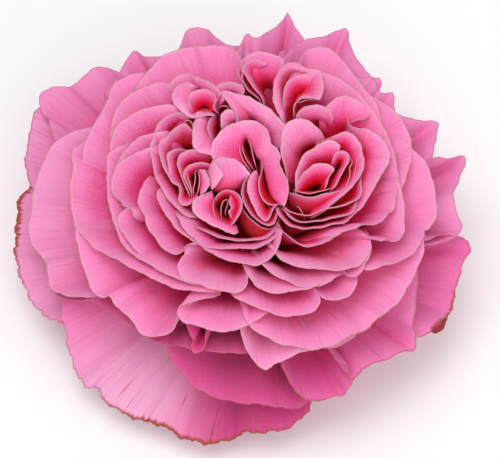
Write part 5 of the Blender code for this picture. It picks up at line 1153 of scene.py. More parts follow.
@dataclass(frozen=True)
class Blade:
    """One petal's blade, from its claw on the hip to its rolled and waved rim, and what all petals share.

    Lengths are in mm, apart from the three thicknesses. The tapers are how far from the rim and the sides the
    blade is thinner. root and crowding say where its rows start and how they crowd to the rim. claw_radius is
    that of the outermost claws and what the heart's have less, leaving their slope in degrees and what the
    heart's have more, and claw_height how much higher those sit. lip is the share of the blade's length over
    which it keeps the slope of its rise, and tuck how far a plain rim's ends dip. ruffles are rows of height
    and length as shares of the petal's own, crinkles of share, length and reach, and strays of share and
    length. shaded is painted shade: how much deeper in colour the heart is far under the dome, which grows
    over shade_depth. colour_depth, made shorter for a higher rank, is how far in mm from the rim the colour
    deepens on a petal without a flush of its own; that deepening is partly the petal's own colour and partly
    painted shade of the folds.
    """

    name: str
    petal: Petal
    claws: float
    thickness: float = 0.42 * MM
    rim_thickness: float = 0.24 * MM
    side_thickness: float = 0.1 * MM
    rim_taper: float = 4.0
    side_taper: float = 2.0
    column_step: float = 0.75
    close_step: float = 0.6  # the share of column_step that a petal with a well has
    columns: tuple = (22, 150)  # fewest and most
    rows: int = 30
    span_rows: tuple = (7, 9, 14)  # from the claw, between lines and up to the rim
    crowding: float = 1.6
    rim_crowding: float = 1.5
    root: float = 0.12
    claw_radius: tuple = (6.5, 3)
    claw_height: float = 5
    claw_spread: float = 0.7  # radians to either side
    claw_gather: float = 0.4  # how much closer the heart's claws stand
    leaving: tuple = (-4, 88)
    leaving_power: float = 0.8
    leaving_reach: float = 0.4  # of the blade's length
    lip: float = 0.36
    tuck: float = 2.5
    tuck_power: int = 8
    roll_width: float = 2.4
    billow_length: float = 24.0
    billow_reach: float = 22.0
    ruffles: tuple = ((1, 1.0), (0.5, 0.61), (0.25, 0.37))
    ruffle_reach: float = 0.7  # of its length
    crinkles: tuple = ((1, 3.1, 3.0), (0.6, 1.9, 1.6))
    stretch: tuple = (0.9, 1.12)  # shortest and longest of each wave's length
    chance_folds: int = 5
    fold_height: float = 1.2  # of the billow
    fold_width: tuple = (0.8, 1.6)  # the least, and how much more by chance
    fold_reach: tuple = (8, 5)  # and how much more for each mm of its width
    strays: tuple = ((0.6, 7.3), (0.4, 3.4), (0.3, 1.7))
    stray_reach: float = 1.6
    # Painted shade: the heart's colour deepens where it lies far under the dome.
    shaded: float = 0.5
    shade_depth: float = 8.0
    # How far the colour deepens from the rim: partly the petal's own colour, partly painted shade of the
    # folds.
    colour_depth: float = 40.0
    paler_below: tuple = (0.03, 0.1, 0.0)  # added to mauve, pale and worn on the lower face

    def middle_surface(self, share: np.ndarray, t: np.ndarray) -> tuple:
        """Cubic curves from the claw to the rim, one for each share of the rim.

        A curve leaves the hip at a slope that grows with the petal's rank, and reaches the rim, outwards from
        the petal's middle, at the slope of its rise.

        Args:
            share: Where each curve meets the rim, 0 to 1.
            t: Where to read the curves, 0 at the claw and 1 at the rim.

        Returns:
            The surface, len(t) x len(share) x 3, and the directions at the rim that its upper face looks in.
        """
        petal = self.petal
        rim = self.placed(petal.rim, share)
        middle = np.zeros(3)
        if petal.middle != FACE:
            middle = from_sketch(*np.array(petal.middle, dtype=float), np.array(FACE_HEIGHT))
        outward = rim[:, :2] - middle[:2]
        outward /= np.linalg.norm(outward, axis=1)[:, None]

        centre = rim[:, :2].mean(axis=0)
        heading = math.atan2(centre[1], centre[0])
        turns = np.arctan2(rim[:, 1], rim[:, 0]) - heading
        turns = (turns + math.pi) % (2 * math.pi) - math.pi
        spread = np.clip(turns, -self.claw_spread, self.claw_spread) * (1 - self.claw_gather * petal.rank)
        claw_radius = (self.claw_radius[0] - self.claw_radius[1] * petal.rank) * MM
        seat = self.claws + self.claw_height * petal.rank * MM
        angle = heading + spread
        columns = len(share)
        aside, ahead = np.cos(angle), np.sin(angle)
        claw = np.stack([aside * claw_radius, ahead * claw_radius, np.full(columns, seat)], axis=1)
        start = math.radians(self.leaving[0] + self.leaving[1] * petal.rank**self.leaving_power)
        flat, steep = math.cos(start), math.sin(start)
        leave = np.stack([aside * flat, ahead * flat, np.full(columns, steep)], axis=1)
        slope = math.radians(petal.rise)
        arrive = np.column_stack([outward * math.cos(slope), np.full(columns, math.sin(slope))])
        facing = np.column_stack([-outward * math.sin(slope), np.full(columns, math.cos(slope))])
        if petal.well:
            lines = [self.placed(line, share) for line in (self.gathered(), *petal.lines)]
            return self.lofted(np.stack([claw, *lines, rim])), facing
        length = np.linalg.norm(rim - claw, axis=1)[:, None]
        t = t[:, None, None]
        surface = (
            (1 - t) ** 3 * claw
            + 3 * (1 - t) ** 2 * t * (claw + self.leaving_reach * length * leave)
            + 3 * (1 - t) * t**2 * (rim - self.lip * length * arrive)
            + t**3 * rim
        )
        return surface, facing

    def gathered(self) -> tuple:
        """The lowest line: the one above it drawn in round the petal's well.

        Returns:
            Its points, each with its drop.
        """
        a, b, drop, share = self.petal.well
        above = (*self.petal.lines, self.petal.rim)[0]
        return tuple((a + share * (x - a), b + share * (y - b), drop) for x, y, *_ in above)

    def placed(self, line: tuple, share: np.ndarray) -> np.ndarray:
        """Places a drawn line in space at its drops under the dome, tucked down where a plain rim ends.

        Args:
            line: Its points in sketch millimetres, each with or without its own drop.
            share: Where to read it, 0 to 1 of the rim's length.

        Returns:
            One point in metres for each share.
        """
        plain = len(line[0]) == 2
        drawn = np.array([(*point, self.petal.drop)[:3] for point in line], dtype=float)
        knots = chord_knots(np.array([point[:2] for point in self.petal.rim], dtype=float))
        a, b, drop = along(drawn, share, knots).T
        tuck = self.tuck * np.abs(2 * share - 1) ** self.tuck_power if plain else 0.0
        return from_sketch(a, b, dome_height(a, b) - (drop + tuck) * MM)

    def lofted(self, stations: np.ndarray) -> np.ndarray:
        """Lofts a surface through lines: cubic Hermite spans from line to line, column by column, each slope
        the mean of its two chords weighted to the shorter one, with the last span's rows crowded towards the
        rim.

        Args:
            stations: The lines in metres, lines x columns x 3, from the claw to the rim.

        Returns:
            The surface, rows x columns x 3.
        """
        width = np.linalg.norm(np.diff(stations, axis=0), axis=2)[..., None] + 1e-9
        chord = np.diff(stations, axis=0) / width
        inner = (chord[:-1] * width[1:] + chord[1:] * width[:-1]) / (width[:-1] + width[1:])
        slopes = np.concatenate([chord[:1], inner, chord[-1:]])
        rows = []
        last = len(width) - 1
        first_rows, span_rows, last_rows = self.span_rows
        for span in range(last + 1):
            count = first_rows if span == 0 else last_rows if span == last else span_rows
            t = np.linspace(0, 1, count + 1)[:count + (span == last), None, None]
            if span == last:
                t = 1 - (1 - t) ** self.rim_crowding
            rows.append(hermite(t, width[span], stations[span:span + 2], slopes[span:span + 2]))
        return np.concatenate(rows)

    def waves(self, along_rim: np.ndarray, from_rim: np.ndarray, draw: np.random.Generator) -> np.ndarray:
        """How far in mm the blade stands off its plain surface: its rim rolls back by a square law, sine
        waves of falling length, each dying away from the rim over about its own length, ruffle it, and a few
        bell-shaped folds run in from the rim, some drawn by chance and some the petal's own.

        Args:
            along_rim: Distance along the rim in mm, rows x columns.
            from_rim: Distance from the rim in mm, rows x columns.
            draw: The petal's own random numbers.

        Returns:
            Heights in mm towards the upper face, rows x columns.
        """
        petal = self.petal
        height = -petal.curl * np.clip(1 - from_rim / self.roll_width, 0, 1) ** 2
        parts = [(petal.billow, self.billow_length, self.billow_reach)]
        parts += [(petal.ruffle * size, petal.wave * length, self.ruffle_reach * (petal.wave * length))
                  for size, length in self.ruffles]
        parts += [(petal.crinkle * size, length, reach) for size, length, reach in self.crinkles]
        for size, length, reach in parts:
            phase, stretch = draw.uniform(0, 2 * math.pi), draw.uniform(*self.stretch)
            swell = np.sin(2 * math.pi * along_rim / (length * stretch) + phase)
            height = height + size * swell * np.exp(-from_rim / reach)
        chance = draw.uniform(0, 1, (self.chance_folds, 3))
        least, more = self.fold_width
        folds = [(at, self.fold_height * petal.billow * (size - 0.5), least + more * width)
                 for at, size, width in chance]
        reach, longer = self.fold_reach
        for at, size, width in (*folds, *petal.folds):
            aside = (along_rim - at * along_rim[:, -1:]) / width
            height = height + size * np.exp(-aside**2 - from_rim / (reach + longer * width))
        return height

    @staticmethod
    def spread_out(value: float | tuple, share: np.ndarray) -> np.ndarray:
        """A value that is alike all along the rim, or a row of them read evenly from end to end."""
        row = np.atleast_1d(value)
        return np.interp(share, np.linspace(0, 1, len(row)), row)

    def skin(self) -> Skin:
        """The petal as a closed shell, thinner at its rim and thinnest at its sides.

        Returns:
            The shell, with its places and looks.
        """
        petal = self.petal
        draw = np.random.default_rng(zlib.crc32(self.name.encode()))
        rim_length = chord_knots(np.array([point[:2] for point in petal.rim], dtype=float))[-1]
        step = self.column_step * (self.close_step if petal.well else 1)
        share = np.linspace(0, 1, int(np.clip(round(rim_length / step), *self.columns)))
        t = 1 - (1 - self.root) * (1 - np.linspace(0, 1, self.rows)) ** self.crowding
        surface, facing = self.middle_surface(share, t)
        along_rim, from_rim = self.distances(surface)
        upper = self.normals(surface, facing)
        surface = surface + upper * (self.waves(along_rim, from_rim, draw) * MM)[..., None]
        onward = surface[-1] - surface[-3]
        onward /= np.linalg.norm(onward, axis=1)[:, None] + 1e-12
        stray = sum(size * np.sin(along_rim * 2 * math.pi / length + draw.uniform(0, 6))
                    for size, length in self.strays)
        stray = petal.wobble * MM * stray * np.exp(-from_rim / self.stray_reach)
        surface = surface + onward * stray[..., None]
        upper = self.normals(surface, facing)

        side = np.minimum(along_rim, along_rim[:, -1:] - along_rim)
        full, rim, edge = self.thickness, self.rim_thickness, self.side_thickness
        thickness = rim + (full - rim) * smooth(from_rim / self.rim_taper)
        thickness = edge + (thickness - edge) * smooth(side / self.side_taper)
        # The colour deepens from the rim inwards, partly the petal's own colour and partly painted shade of
        # the folds; deep and the depth under the dome add painted shade.
        into = from_rim / (petal.flush or self.colour_depth * math.exp(-2 * petal.rank))
        shade = smooth((buried(surface) - 1) / self.shade_depth)
        into = into + self.spread_out(petal.deep, share) + self.shaded * petal.rank**2 * shade
        place = np.stack([along_rim + draw.uniform(100, 900), from_rim, into], axis=-1)
        look = [self.spread_out(value, share) for value in (petal.mauve, petal.pale, petal.worn)]
        look = np.broadcast_to(np.stack(look, axis=-1), place.shape)
        return closed_shell(surface, thickness, upper, place, look, look + self.paler_below)

    @staticmethod
    def distances(surface: np.ndarray) -> tuple:
        """Distances over a grid, added up from chord to chord.

        Args:
            surface: The grid in metres, rows x columns x 3, its last row at the rim.

        Returns:
            The distances in mm along the rim and from the rim.
        """
        steps = np.linalg.norm(np.diff(surface[-1], axis=0), axis=1) / MM
        along_rim = np.broadcast_to(np.concatenate([[0.0], np.cumsum(steps)]), surface.shape[:2])
        rows = np.linalg.norm(np.diff(surface, axis=0), axis=2) / MM
        from_rim = np.concatenate([np.cumsum(rows[::-1], axis=0)[::-1], np.zeros((1, surface.shape[1]))])
        return along_rim, from_rim

    @staticmethod
    def normals(surface: np.ndarray, facing: np.ndarray) -> np.ndarray:
        """Unit normals of a grid, the cross product of its two directions.

        Args:
            surface: The grid, rows x columns x 3.
            facing: Directions on the side that the normals have to point to.

        Returns:
            One normal for each point.
        """
        normal = np.cross(np.gradient(surface, axis=1), np.gradient(surface, axis=0))
        normal /= np.linalg.norm(normal, axis=2)[..., None] + 1e-15
        return normal * np.sign(np.sum(normal[-1] * facing))


def add_piece(name: str, skin: Skin, part: Part, material: bpy.types.Material) -> bpy.types.Object:
    """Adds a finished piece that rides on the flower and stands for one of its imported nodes.

    Args:
        name: The piece's name.
        skin: Its closed faces, in place.
        part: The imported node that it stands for.
        material: Its finish.

    Returns:
        The new object.
    """
    piece = bpy.data.objects.new(name, skin.mesh(name))
    bpy.context.scene.collection.objects.link(piece)
    piece.data.materials.append(material)
    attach(piece, "root")
    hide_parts(part.node)
    LOG.info("%s: %d faces", name, len(piece.data.polygons))
    return piece


def linear(colour: str) -> tuple:
    """Turns an sRGB hex colour such as #F08AB8 into linear light, with an alpha of 1.

    Args:
        colour: The colour with its leading #.

    Returns:
        Red, green, blue and alpha.
    """
    shown = np.array([int(colour[at:at + 2], 16) for at in (1, 3, 5)]) / 255
    light = np.where(shown <= 0.04045, shown / 12.92, ((shown + 0.055) / 1.055) ** 2.4)
    return (*light.tolist(), 1.0)


def add_node(tree: bpy.types.NodeTree, kind: str, inputs: dict | None = None, stops: tuple = (),
             **settings: object) -> bpy.types.Node:
    """Adds a node with its settings and links.

    Args:
        tree: The node tree.
        kind: The node's type name after ShaderNode.
        inputs: Values or output sockets for its inputs, by name or number.
        stops: Pairs of place and hex colour, for a node that has a ramp.
        **settings: The node's own properties.

    Returns:
        The new node.
    """
    node = tree.nodes.new("ShaderNode" + kind)
    for name, value in settings.items():
        setattr(node, name, value)
    for key, value in (inputs or {}).items():
        if isinstance(value, bpy.types.NodeSocket):
            tree.links.new(value, node.inputs[key])
        else:
            node.inputs[key].default_value = value
    for index, (place, colour) in enumerate(stops):
        elements = node.color_ramp.elements
        element = elements[index] if index < 2 else elements.new(place)
        element.position = place
        element.color = linear(colour)
    return node


def new_material(name: str) -> tuple:
    """A material with nothing but its Principled shader.

    Args:
        name: The material's name.

    Returns:
        The material, its node tree and that shader.
    """
    material = bpy.data.materials.new(name)
    material.use_nodes = True
    return material, material.node_tree, material.node_tree.nodes["Principled BSDF"]


@dataclass(frozen=True)
class PetalFinish:
    """Living rose petal: a few layers of cells with a velvety, papillate face, which light passes into and
    comes out of redder. The eye sees a soft bloom, palest along the rim, with fine veins that fan out to it.
    """

    name: str
    # The ramp from the rim to the claws; its crimson end is partly painted shade of the folds.
    blade: tuple
    # These two paint a pale line along the rim, the second its width: a painted highlight of light caught in
    # the thin edge.
    rim_highlight: float = 0.85
    rim_width: float = 0.65  # mm
    cool: str = "#DC9CCB"
    # Pale of paled faces and speckles, and of the painted highlight along the rim; on a few shaded faces the
    # pale is painted light.
    pale_and_highlight: str = "#FFC4DE"
    browned: str = "#A8503F"
    deep_vein: str = "#D2397F"
    vein_spacing: float = 0.9  # mm, drawn coarser than the real 0.3 mm so that it shows
    vein_length: float = 16.0  # mm
    grain: float = 0.45  # mm, coarser than the real cells of 0.03 mm for the same reason
    blotch: float = 9.0  # mm
    blotching: float = 0.4  # how far blotches move the depth of colour
    mottling: float = 0.55  # the same for the grain
    vein_share: float = 0.3
    speckle: float = 0.16
    scratch: float = 0.7
    roughness: float = 0.5
    glow_depth: float = 1.0 * MM

    def material(self) -> bpy.types.Material:
        """Builds the node material: colour by the distance from the rim, veins and grain in bump, and wear.

        Returns:
            The material.
        """
        material, tree, shader = new_material(self.name)
        place = add_node(tree, "Attribute", attribute_name="petal_place").outputs["Vector"]
        look = add_node(tree, "Attribute", attribute_name="petal_look").outputs["Vector"]
        at = add_node(tree, "SeparateXYZ", {0: place})
        state = add_node(tree, "SeparateXYZ", {0: look})

        across = add_node(tree, "Math", {0: at.outputs["X"], 1: 1 / self.vein_spacing},
                          operation="MULTIPLY").outputs[0]
        inwards = add_node(tree, "Math", {0: at.outputs["Y"], 1: 1 / self.vein_length},
                           operation="MULTIPLY").outputs[0]
        lengthwise = add_node(tree, "CombineXYZ", {0: across, 1: inwards}).outputs[0]
        veins = add_node(tree, "TexNoise", {"Vector": lengthwise, "Scale": 1.0, "Detail": 2.0,
                                            "Roughness": 0.6}).outputs["Fac"]
        flat = add_node(tree, "CombineXYZ", {0: at.outputs["X"], 1: at.outputs["Y"]}).outputs[0]
        blotches = add_node(tree, "TexNoise", {"Vector": flat, "Scale": 1 / self.blotch,
                                               "Detail": 4.0}).outputs["Fac"]
        grain = add_node(tree, "TexNoise", {"Vector": flat, "Scale": 1 / self.grain,
                                            "Detail": 1.0}).outputs["Fac"]

        stray = add_node(tree, "Math", {0: blotches, 1: self.blotching, 2: -self.blotching / 2},
                         operation="MULTIPLY_ADD").outputs[0]
        # The depth of colour from the rim inwards: partly the petal's own colour, partly painted shade of the
        # folds.
        depth = add_node(tree, "Math", {0: at.outputs["Z"], 1: stray}, operation="ADD").outputs[0]
        mottle = add_node(tree, "Math", {0: grain, 1: self.mottling, 2: -self.mottling / 2},
                          operation="MULTIPLY_ADD").outputs[0]
        depth = add_node(tree, "Math", {0: depth, 1: mottle}, operation="ADD").outputs[0]
        colour = add_node(tree, "ValToRGB", {"Fac": depth}, self.blade).outputs["Color"]

        veined = add_node(tree, "MapRange", {"Value": veins, "From Min": 0.5, "From Max": 0.8,
                                             "To Max": self.vein_share}).outputs[0]
        # Painted highlight: the pale line along the rim, where light catches and shines through the thin edge.
        rim = add_node(tree, "MapRange", {"Value": at.outputs["Y"], "From Max": self.rim_width,
                                          "To Min": self.rim_highlight, "To Max": 0.0},
                       interpolation_type="SMOOTHSTEP").outputs[0]
        speckled = add_node(tree, "MapRange", {"Value": grain, "From Min": 0.5, "From Max": 0.8,
                                               "To Max": self.speckle}).outputs[0]
        scratches = add_node(tree, "MapRange", {"Value": veins, "From Min": 0.66, "From Max": 0.72,
                                                "To Max": self.scratch}).outputs[0]
        scratched = add_node(tree, "Math", {0: scratches, 1: state.outputs["Z"]},
                             operation="MULTIPLY").outputs[0]
        ragged = add_node(tree, "Math", {0: veins, 1: 1.8, 2: -0.25}, operation="MULTIPLY_ADD").outputs[0]
        reach = add_node(tree, "Math", {0: ragged, 1: state.outputs["Z"]}, operation="MULTIPLY").outputs[0]
        beyond = add_node(tree, "Math", {0: reach, 1: at.outputs["Y"]}, operation="SUBTRACT").outputs[0]
        dried = add_node(tree, "MapRange", {"Value": beyond, "From Min": -0.4, "From Max": 0.5}).outputs[0]
        layers = (
            (self.cool, state.outputs["X"]),
            (self.pale_and_highlight, state.outputs["Y"]),
            (self.deep_vein, veined),
            (self.pale_and_highlight, rim),
            (self.pale_and_highlight, speckled),
            (self.browned, scratched),
            (self.browned, dried),
        )
        for shade, share in layers:
            colour = add_node(tree, "Mix", {0: share, 6: colour, 7: linear(shade)},
                              data_type="RGBA").outputs[2]

        relief = add_node(tree, "Math", {0: veins, 1: 0.9}, operation="MULTIPLY").outputs[0]
        relief = add_node(tree, "Math", {0: grain, 1: 0.5, 2: relief}, operation="MULTIPLY_ADD").outputs[0]
        bump = add_node(tree, "Bump", {"Height": relief, "Strength": 0.7, "Distance": 0.22 * MM})
        gloss = add_node(tree, "MapRange", {"Value": blotches, "To Min": self.roughness - 0.07,
                                            "To Max": self.roughness + 0.1}).outputs[0]
        tree.links.new(colour, shader.inputs["Base Color"])
        tree.links.new(gloss, shader.inputs["Roughness"])
        tree.links.new(bump.outputs["Normal"], shader.inputs["Normal"])
        shader.inputs["IOR"].default_value = 1.42
        shader.inputs["Specular IOR Level"].default_value = 0.14
        shader.inputs["Subsurface Weight"].default_value = 0.1
        shader.inputs["Subsurface Radius"].default_value = (1.0, 0.22, 0.38)
        shader.inputs["Subsurface Scale"].default_value = self.glow_depth
        shader.inputs["Sheen Weight"].default_value = 0.03
        shader.inputs["Sheen Roughness"].default_value = 0.5
        shader.inputs["Sheen Tint"].default_value = linear("#F7C6DD")
        return material


@dataclass(frozen=True)
class Whorl:
    """The petals of one ring or quarter of the bloom, made as one piece."""

    name: str
    petals: dict
    part: Part
    claws: float
    finish: PetalFinish

    def build(self, material: bpy.types.Material) -> bpy.types.Object:
        """Makes every petal's blade and joins them."""
        skins = [Blade(name, petal, self.claws).skin() for name, petal in self.petals.items()]
        return add_piece(self.name, Skin.joined(skins), self.part, material)


@dataclass(frozen=True)
class SepalFinish:
    """Rose sepal and hip: waxy green skin with faint ribs along it, redder where the sun reached it."""

    name: str = "waxy green sepal and hip"
    shade: str = "#4F6B2A"
    light: str = "#8CA055"
    blush: str = "#8A5140"
    rib_spacing: float = 0.9  # mm
    mottle: float = 3.0  # mm

    def material(self) -> bpy.types.Material:
        """Builds the node material: mottled green, ribs in bump, and blushed patches.

        Returns:
            The material.
        """
        material, tree, shader = new_material(self.name)
        here = add_node(tree, "TexCoord").outputs["Object"]
        place = add_node(tree, "Attribute", attribute_name="petal_place").outputs["Vector"]
        mottle = add_node(tree, "TexNoise", {"Vector": here, "Scale": 1 / (self.mottle * MM),
                                             "Detail": 3.0}).outputs["Fac"]
        ribs = add_node(tree, "TexWave", {"Vector": place, "Scale": 0.31 / self.rib_spacing,
                                          "Distortion": 1.5, "Detail": 1.0}).outputs["Fac"]
        stops = ((0.3, self.shade), (0.62, self.light), (0.8, self.blush))
        colour = add_node(tree, "ValToRGB", {"Fac": mottle}, stops).outputs["Color"]
        relief = add_node(tree, "Math", {0: ribs, 1: mottle}, operation="ADD").outputs[0]
        bump = add_node(tree, "Bump", {"Height": relief, "Strength": 0.4, "Distance": 0.15 * MM})
        gloss = add_node(tree, "MapRange", {"Value": mottle, "To Min": 0.42, "To Max": 0.6}).outputs[0]
        tree.links.new(colour, shader.inputs["Base Color"])
        tree.links.new(gloss, shader.inputs["Roughness"])
        tree.links.new(bump.outputs["Normal"], shader.inputs["Normal"])
        shader.inputs["Subsurface Weight"].default_value = 0.1
        shader.inputs["Subsurface Radius"].default_value = (0.5, 1.0, 0.3)
        shader.inputs["Subsurface Scale"].default_value = 1 * MM
        return material


@dataclass(frozen=True)
class Calyx:
    """The hip with its short cut stalk, and the five sepals folded back under the petals."""

    sides: int = 72
    rings: int = 90
    ribs: int = 10
    rib: float = 0.012  # of the radius
    first_sepal: float = 18  # degrees round the hip
    sepal_rows: int = 60
    sepal_columns: int = 25
    root: tuple = (-2, -2.6)  # mm, its place from the hip's rim and top
    shoulder: tuple = (6, 0.2)  # mm, from the same
    foot: float = 9  # mm, the end that lies along the floor
    widths: tuple = (6.5, 9, 9.5, 7, 8, 5, 3.2, 1.6)  # mm, from a sepal's root to its tip
    lobes: int = 6
    lobe: float = 0.06  # of the width
    cup: float = 2.2  # mm
    midrib: tuple = (0.35, 0.5)  # mm, height and width
    thin_edge: float = 0.18  # of the width

    def build(self, material: bpy.types.Material, petal: bpy.types.Material) -> None:
        """Makes the hip with its stalk, the claws crowded over it, and the sepals, as three pieces.

        Args:
            material: The finish of the hip and the sepals.
            petal: The finish of the claws.
        """
        add_piece("hip_and_stalk", self.turned(HIP_PROFILE), Part.CALYX, material)
        add_piece("petal_claws", self.turned(CLAWS_PROFILE), Part.INNER, petal)
        turns = [math.radians(self.first_sepal + 360 / SEPALS * index) for index in range(SEPALS)]
        sepals = [self.sepal(turn, index) for index, turn in enumerate(turns)]
        add_piece("sepals", Skin.joined(sepals), Part.CALYX, material)

    def turned(self, stations: tuple) -> Skin:
        """A profile turned about the flower's axis, its radius rippled by faint ribs that fade at top and
        bottom.

        Args:
            stations: Radius and height in mm down the profile, whose two ends lie on the axis.

        Returns:
            Its closed skin.
        """
        stations = np.array(stations)
        bottom, top = stations[-1, 1], stations[0, 1]
        radius, height = along(stations, np.linspace(0, 1, self.rings)).T
        radius, height = np.maximum(radius, 0.01), np.clip(height, bottom, top)
        turn = np.linspace(0, 2 * math.pi, self.sides, endpoint=False)
        ripple = 1 + self.rib * np.sin(self.ribs * turn)[None, :] * np.sin(math.pi * height / top)[:, None]
        rings = radius[:, None] * ripple * MM
        points = np.stack([rings * np.cos(turn), rings * np.sin(turn),
                           np.broadcast_to(height[:, None] * MM, rings.shape)], axis=-1)
        rows = len(points)
        index = np.arange(rows * self.sides).reshape(rows, self.sides)
        onward = np.roll(index, -1, axis=1)
        quads = np.stack([index[:-1], index[1:], onward[1:], onward[:-1]], axis=-1).reshape(-1, 4)
        poles = np.array([[0, 0, top * MM], [0, 0, bottom * MM]])
        first, last = rows * self.sides, rows * self.sides + 1
        triangles = np.concatenate([
            np.stack([index[0], onward[0], np.full(self.sides, first)], axis=1),
            np.stack([onward[-1], index[-1], np.full(self.sides, last)], axis=1),
        ])
        place = np.stack(np.broadcast_arrays(turn[None, :] * 6, height[:, None], 1.0), axis=-1).reshape(-1, 3)
        place = np.concatenate([place, np.zeros((2, 3))])
        points = np.concatenate([points.reshape(-1, 3), poles])
        return Skin(points, quads, triangles, place, np.zeros_like(place))

    def sepal(self, turn: float, index: int) -> Skin:
        """One sepal: a cubic curve out of the top of the hip, folded back down to rest on its tip, its sides
        cupped by the square of the distance from a raised midrib.

        Args:
            turn: Where it stands round the hip, in radians.
            index: Its number, which seeds its own random numbers.

        Returns:
            Its closed skin.
        """
        draw = np.random.default_rng(70 + index)
        t = np.linspace(0, 1, self.sepal_rows)
        rest = SEPAL_THICKNESS / 2
        stations = np.array([
            (HIP_RADIUS + self.root[0] * MM, HIP_TOP + self.root[1] * MM),
            (HIP_RADIUS + self.shoulder[0] * MM, HIP_TOP + self.shoulder[1] * MM),
            (SEPAL_REACH - self.foot * MM, rest),
            (SEPAL_REACH, rest),
        ])
        weights = np.stack([(1 - t) ** 3, 3 * (1 - t) ** 2 * t, 3 * (1 - t) * t**2, t**3], axis=1)
        reach, height = (weights @ stations).T
        widths = np.interp(t, np.linspace(0, 1, len(self.widths)), self.widths) * MM
        lobes = 1 + self.lobe * np.sin(2 * math.pi * t * self.lobes + draw.uniform(0, 6)) * smooth(t / 0.3)
        across = np.linspace(-0.5, 0.5, self.sepal_columns)
        side = (widths * lobes)[:, None] * across
        cup = self.cup * MM * (4 * across**2) * np.sin(math.pi * t)[:, None]
        high, wide = self.midrib
        midrib = high * MM * np.exp(-(side / (wide * MM)) ** 2) * smooth(t / 0.2)[:, None] * (1 - t[:, None])
        out = np.broadcast_to(reach[:, None], side.shape)
        x = out * math.cos(turn) - side * math.sin(turn)
        y = out * math.sin(turn) + side * math.cos(turn)
        surface = np.stack([x, y, height[:, None] + cup - midrib], axis=-1)
        upper = Blade.normals(surface, np.broadcast_to([0.0, 0.0, 1.0], surface.shape[1:]))
        edge = smooth((0.5 - np.abs(across)) / self.thin_edge)
        thickness = SEPAL_THICKNESS * (0.3 + 0.7 * edge)[None, :] * np.ones((self.sepal_rows, 1))
        place = np.stack(np.broadcast_arrays(side / MM, (1 - t)[:, None] * 30, 0.1 * index), axis=-1)
        return closed_shell(surface, thickness, upper, place, np.zeros_like(place), np.zeros_like(place))


@dataclass(frozen=True)
class Studio:
    """A pale floor, soft lights and the camera at the photograph's angle."""

    floor_size: float = 3.0
    floor_colour: str = "#FFFFFF"
    aim: tuple = (0, 0, 0.03)
    key_place: tuple = (-0.16, -0.02, 0.9)
    key_size: float = 0.6
    key_power: float = 3.2
    fill_place: tuple = (0.3, -0.6, 0.5)
    fill_size: float = 0.9
    fill_power: float = 2.6
    sky: float = 0.55

    def build(self) -> None:
        """Sets the floor, the lights, the sky and the camera."""
        self.lay_floor()
        self.hang_light("key", self.key_place, self.key_size, self.key_power)
        self.hang_light("fill", self.fill_place, self.fill_size, self.fill_power)
        self.light_sky()
        self.place_camera()

    def lay_floor(self) -> None:
        """A square of matt painted board with a faint tooth."""
        half = self.floor_size / 2
        mesh = bpy.data.meshes.new("floor")
        square = [(-half, -half, 0), (half, -half, 0), (half, half, 0), (-half, half, 0)]
        mesh.from_pydata(square, [], [(0, 1, 2, 3)])
        floor = bpy.data.objects.new("floor", mesh)
        bpy.context.scene.collection.objects.link(floor)
        material, tree, shader = new_material("matt white board")
        here = add_node(tree, "TexCoord").outputs["Object"]
        tooth = add_node(tree, "TexNoise", {"Vector": here, "Scale": 900.0}).outputs["Fac"]
        bump = add_node(tree, "Bump", {"Height": tooth, "Strength": 0.05, "Distance": 0.1 * MM})
        tree.links.new(bump.outputs["Normal"], shader.inputs["Normal"])
        shader.inputs["Base Color"].default_value = linear(self.floor_colour)
        shader.inputs["Roughness"].default_value = 0.9
        mesh.materials.append(material)
        floor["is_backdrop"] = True

    def hang_light(self, name: str, at: tuple, size: float, power: float) -> None:
        """A square soft light that looks at the bloom.

        Args:
            name: The light's name.
            at: Its place in metres.
            size: Its side in metres.
            power: Its power in watts.
        """
        light = bpy.data.lights.new(name, "AREA")
        light.size = size
        light.energy = power
        lamp = bpy.data.objects.new(name, light)
        bpy.context.scene.collection.objects.link(lamp)
        lamp.location = at
        lamp.rotation_mode = "QUATERNION"
        lamp.rotation_quaternion = (Vector(self.aim) - Vector(at)).to_track_quat("-Z", "Y")

    def light_sky(self) -> None:
        """Even white light from all round."""
        world = bpy.data.worlds.new("soft studio")
        world.use_nodes = True
        background = world.node_tree.nodes["Background"]
        background.inputs["Color"].default_value = (1.0, 1.0, 1.0, 1.0)
        background.inputs["Strength"].default_value = self.sky
        bpy.context.scene.world = world

    def place_camera(self) -> None:
        """The camera at SKETCH_DISTANCE from the sheet's centre, looking down at SKETCH_TILT, framed as the
        photo."""
        target = Vector(SKETCH_CENTRE)
        back = Vector((0, -math.cos(SKETCH_TILT), math.sin(SKETCH_TILT)))
        camera = bpy.data.cameras.new("camera")
        camera.sensor_width = SENSOR_WIDTH
        camera.lens = SENSOR_WIDTH * SKETCH_DISTANCE / FRAME_WIDTH
        stand = bpy.data.objects.new("camera", camera)
        bpy.context.scene.collection.objects.link(stand)
        stand.location = target + back * SKETCH_DISTANCE
        stand.rotation_mode = "QUATERNION"
        stand.rotation_quaternion = (-back).to_track_quat("-Z", "Y")
        bpy.context.scene.camera = stand
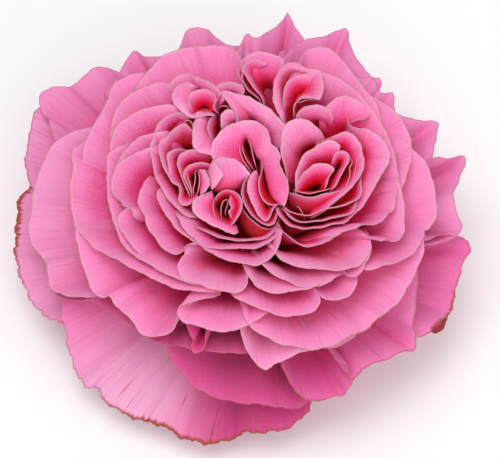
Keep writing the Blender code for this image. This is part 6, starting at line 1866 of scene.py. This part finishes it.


# Each ramp runs from the pale rim to crimson; the crimson is partly painted shade of the folds and recesses.
WARM_PETAL = PetalFinish(
    "velvety warm pink rose petal",
    ((0.0, "#F99ACA"), (0.1, "#F886BD"), (0.27, "#F6609E"),
     (0.45, "#EC2C70"), (0.68, "#EA0C3C"), (1.0, "#EE0016")),
)
FADED_PETAL = PetalFinish(
    "velvety wide pink rose petal",
    ((0.0, "#F892C6"), (0.2, "#F782BA"), (0.36, "#F05C9E"),
     (0.52, "#EC387E"), (0.75, "#F01A50"), (1.0, "#EE0420")),
    rim_highlight=0.65,
)
COOL_PETAL = PetalFinish(
    "velvety mauve pink rose petal",
    ((0.0, "#F592C6"), (0.1, "#F388BF"), (0.35, "#EC68AA"), (0.6, "#DA3E86"), (1.0, "#AE1F62")),
    rim_highlight=0.12,
)
WHORLS = (
    Whorl("guard_petals", GUARD_PETALS, Part.OUTER, OUTER_CLAWS, COOL_PETAL),
    Whorl("wide_petals", WIDE_PETALS, Part.INNER, INNER_CLAWS, FADED_PETAL),
    Whorl("bowl_petals", BOWL_PETALS, Part.INNER, INNER_CLAWS, FADED_PETAL),
    Whorl("lip_petals", LIP_PETALS, Part.INNER, INNER_CLAWS, FADED_PETAL),
    Whorl("right_quarter_petals", RIGHT_QUARTER_PETALS, Part.INNER, INNER_CLAWS, WARM_PETAL),
    Whorl("upper_right_petals", UPPER_RIGHT_PETALS, Part.INNER, INNER_CLAWS, WARM_PETAL),
    Whorl("upper_left_petals", UPPER_LEFT_PETALS, Part.INNER, INNER_CLAWS, WARM_PETAL),
    Whorl("left_quarter_petals", LEFT_QUARTER_PETALS, Part.INNER, INNER_CLAWS, WARM_PETAL),
    Whorl("heart_petals", HEART_PETALS, Part.INNER, INNER_CLAWS, WARM_PETAL),
)


def corners() -> list:
    """The shown object's lowest and highest corners as plain lists of numbers."""
    return [list(corner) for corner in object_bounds()]


def main() -> None:
    """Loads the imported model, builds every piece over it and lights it."""
    logging.basicConfig(level=logging.INFO, format="%(name)s: %(message)s")
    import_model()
    bpy.context.scene.view_settings.view_transform = "Standard"
    finishes = {finish: finish.material() for finish in (WARM_PETAL, FADED_PETAL, COOL_PETAL)}
    for whorl in WHORLS:
        whorl.build(finishes[whorl.finish])
    Calyx().build(SepalFinish().material(), finishes[WARM_PETAL])
    Studio().build()


if __name__ == "__main__":
    main()
